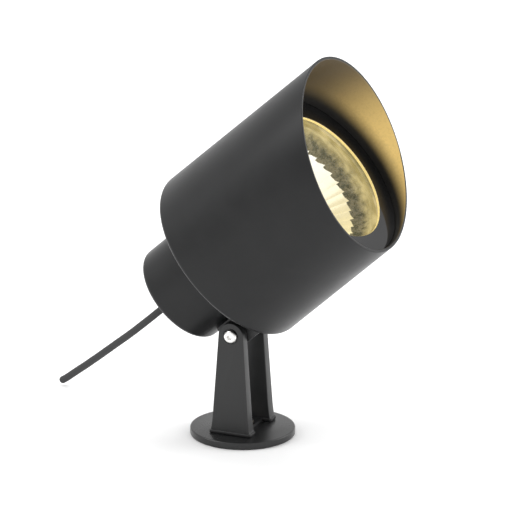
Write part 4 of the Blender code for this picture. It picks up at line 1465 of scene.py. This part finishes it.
@dataclass
class SupplyCable:
    """The low-voltage cable, from the gland to its bare, rounded end on the ground."""

    radius: float = 2.5 * MM
    steps: int = 6
    sides: int = 24
    follow: float = 10.0 * MM

    def centre_line(self) -> list[Vector]:
        """A smooth curve through the route's points.

        Returns:
            The curve's points.
        """
        route = [Vector(point) for point in CABLE_ROUTE]
        last = len(route) - 1
        line = []
        for leg in range(last):
            before, start, end, after = (route[min(max(leg + k, 0), last)] for k in (-1, 0, 1, 2))
            for i in range(self.steps):
                t = i / self.steps
                bend = 2 * before - 5 * start + 4 * end - after
                twist = 3 * start - before - 3 * end + after
                line.append(0.5 * (2 * start + (end - before) * t + bend * t**2 + twist * t**3))
        return line + [route[last]]

    def build(self) -> bpy.types.Object:
        """Returns:
            The cable.
        """
        line = self.centre_line()
        bm = bmesh.new()
        rings = []
        side = Vector((0, 1, 0))
        ends = len(line) - 1
        for i, point in enumerate(line):
            ahead = (line[min(i + 1, ends)] - line[max(i - 1, 0)]).normalized()
            across = ahead.cross(side).normalized()
            up = across.cross(ahead)
            rest = min((line[-1] - point).length, (line[0] - point).length)
            shrink = math.sqrt(max(0.0, 1 - max(0.0, 1 - rest / (0.5 * self.radius)) ** 2 * 0.5))
            radius = self.radius * shrink
            turns = [2 * math.pi * k / self.sides for k in range(self.sides)]
            spokes = [math.cos(a) * across + math.sin(a) * up for a in turns]
            rings.append([bm.verts.new(point + radius * spoke) for spoke in spokes])
        bm.faces.new(rings[0][::-1])
        bm.faces.new(rings[-1])
        stitch(bm, rings)
        cable = loose("supply_lead", bm)
        cable.data.materials.append(RUBBER.material())
        cable.data.shade_smooth()
        cable.data.set_sharp_from_angle(angle=math.radians(50))
        length = sum((b - a).length for a, b in zip(line, line[1:]))
        start = line[0] + (line[1] - line[0]).normalized() * self.follow
        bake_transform(cable)
        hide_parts("supply_cable")
        2 * self.radius
        LOG.info("supply_lead is %.1f mm long", length / MM)
        return cable


def dress_inside() -> None:
    """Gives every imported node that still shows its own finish."""
    finishes = {
        STEEL: ["neck_screw_", "lug_screw_", "sink_post_", "sink_screw_", "led_screw_"],
        ALUMINIUM: ["heat_sink"],
        CHARCOAL: ["lens_seat_ring"],
        SEAL_RUBBER: ["neck_seal"],
        RUBBER: ["cable_tail"],
        BLACK_NYLON: ["driver_module", "gland_lock_nut"],
        WHITE_RESIN: ["led_board", "led_holder", "led_lead", "terminal_block"],
        NYLON: ["friction_washer_"],
    }
    for finish, starts in finishes.items():
        for name, node in frame["nodes"].items():
            if any(name.startswith(start) for start in starts):
                node.data.materials.clear()
                node.data.materials.append(finish.material())
                LOG.info("%s is dressed in %s", name, finish.name)


@dataclass
class Studio:
    """The pale floor, the soft lights and the camera."""

    azimuth: float = 23.6
    elevation: float = 19.1
    distance: float = 12.0
    view_width: float = 345.7 * MM
    sensor: float = 36.0
    aim_right: float = 9.0 * MM
    aim_up: float = 119.2 * MM
    floor_radius: float = 30.0
    floor_drop: float = 0.2 * MM
    world_light: float = 0.92
    lit_height: float = 0.12

    def build(self) -> None:
        """Sets the whole studio."""
        self.build_camera()
        self.build_floor()
        self.build_world()
        self.area("key", place=(-1.5, -0.9, 1.6), size=1.3, power=16.0)
        self.area("rim", place=(1.3, 0.9, 0.7), size=1.0, power=9.0)
        self.area("top", place=(0.1, 0.5, 1.9), size=1.4, power=14.0)
        bpy.context.scene.view_settings.view_transform = "Standard"

    def axes(self) -> tuple[Vector, Vector, Vector]:
        """The camera's own axes.

        Returns:
            Its right, up and backward directions.
        """
        turn, tip = math.radians(self.azimuth), math.radians(self.elevation)
        right = Vector((math.cos(turn), math.sin(turn), 0))
        level = Vector((math.sin(turn), -math.cos(turn), 0))
        back = level * math.cos(tip) + Vector((0, 0, math.sin(tip)))
        return right, back.cross(right), back

    def build_camera(self) -> None:
        """A long lens at the object's viewing angle."""
        right, up, back = self.axes()
        target = right * self.aim_right + up * self.aim_up
        data = bpy.data.cameras.new("camera")
        data.sensor_width = self.sensor
        data.lens = self.sensor * self.distance / self.view_width
        data.clip_end = 100.0
        camera = bpy.data.objects.new("camera", data)
        place = Matrix((right, up, back)).transposed().to_4x4()
        place.translation = target + back * self.distance
        camera.matrix_world = place
        bpy.context.collection.objects.link(camera)
        bpy.context.scene.camera = camera

    def build_floor(self) -> None:
        """A plain pale floor."""
        bm = bmesh.new()
        bmesh.ops.create_circle(bm, cap_ends=True, segments=96, radius=self.floor_radius)
        floor = loose("floor", bm)
        floor.location.z = -self.floor_drop
        sheet = NodeSheet("floor_paper")
        sheet.set(Base_Color=(1.0, 1.0, 1.0), Roughness=0.9, Specular_IOR_Level=0.1)
        floor.data.materials.append(sheet.material)

    def build_world(self) -> None:
        """An even soft light from all round."""
        world = bpy.data.worlds.new("studio")
        world.use_nodes = True
        background = world.node_tree.nodes["Background"]
        background.inputs["Color"].default_value = (1.0, 1.0, 1.0, 1.0)
        background.inputs["Strength"].default_value = self.world_light
        bpy.context.scene.world = world

    def area(self, name: str, place: Sequence[float], size: float, power: float) -> None:
        """A square soft light that faces the lamp.

        Args:
            name: its name.
            place: where it hangs.
            size: its side in metres.
            power: its power in watts.
        """
        data = bpy.data.lights.new(name, "AREA")
        data.shape = "SQUARE"
        data.size = size
        data.energy = power
        light = bpy.data.objects.new(name, data)
        light.location = place
        towards = Vector((0, 0, self.lit_height)) - Vector(place)
        light.rotation_euler = towards.to_track_quat("-Z", "Y").to_euler()
        bpy.context.collection.objects.link(light)


def main() -> None:
    """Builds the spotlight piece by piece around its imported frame."""
    logging.basicConfig(level=logging.INFO, format="%(message)s")
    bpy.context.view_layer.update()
    Studio().build()
    SupplyCable().build()
    place = head_place(BOARD_HEIGHT)
    Foot().build()
    Fork().build()
    Housing().build(place)
    Optics().build(place)
    Gland().build(place)
    dress_inside()


if __name__ == "__main__":
    main()
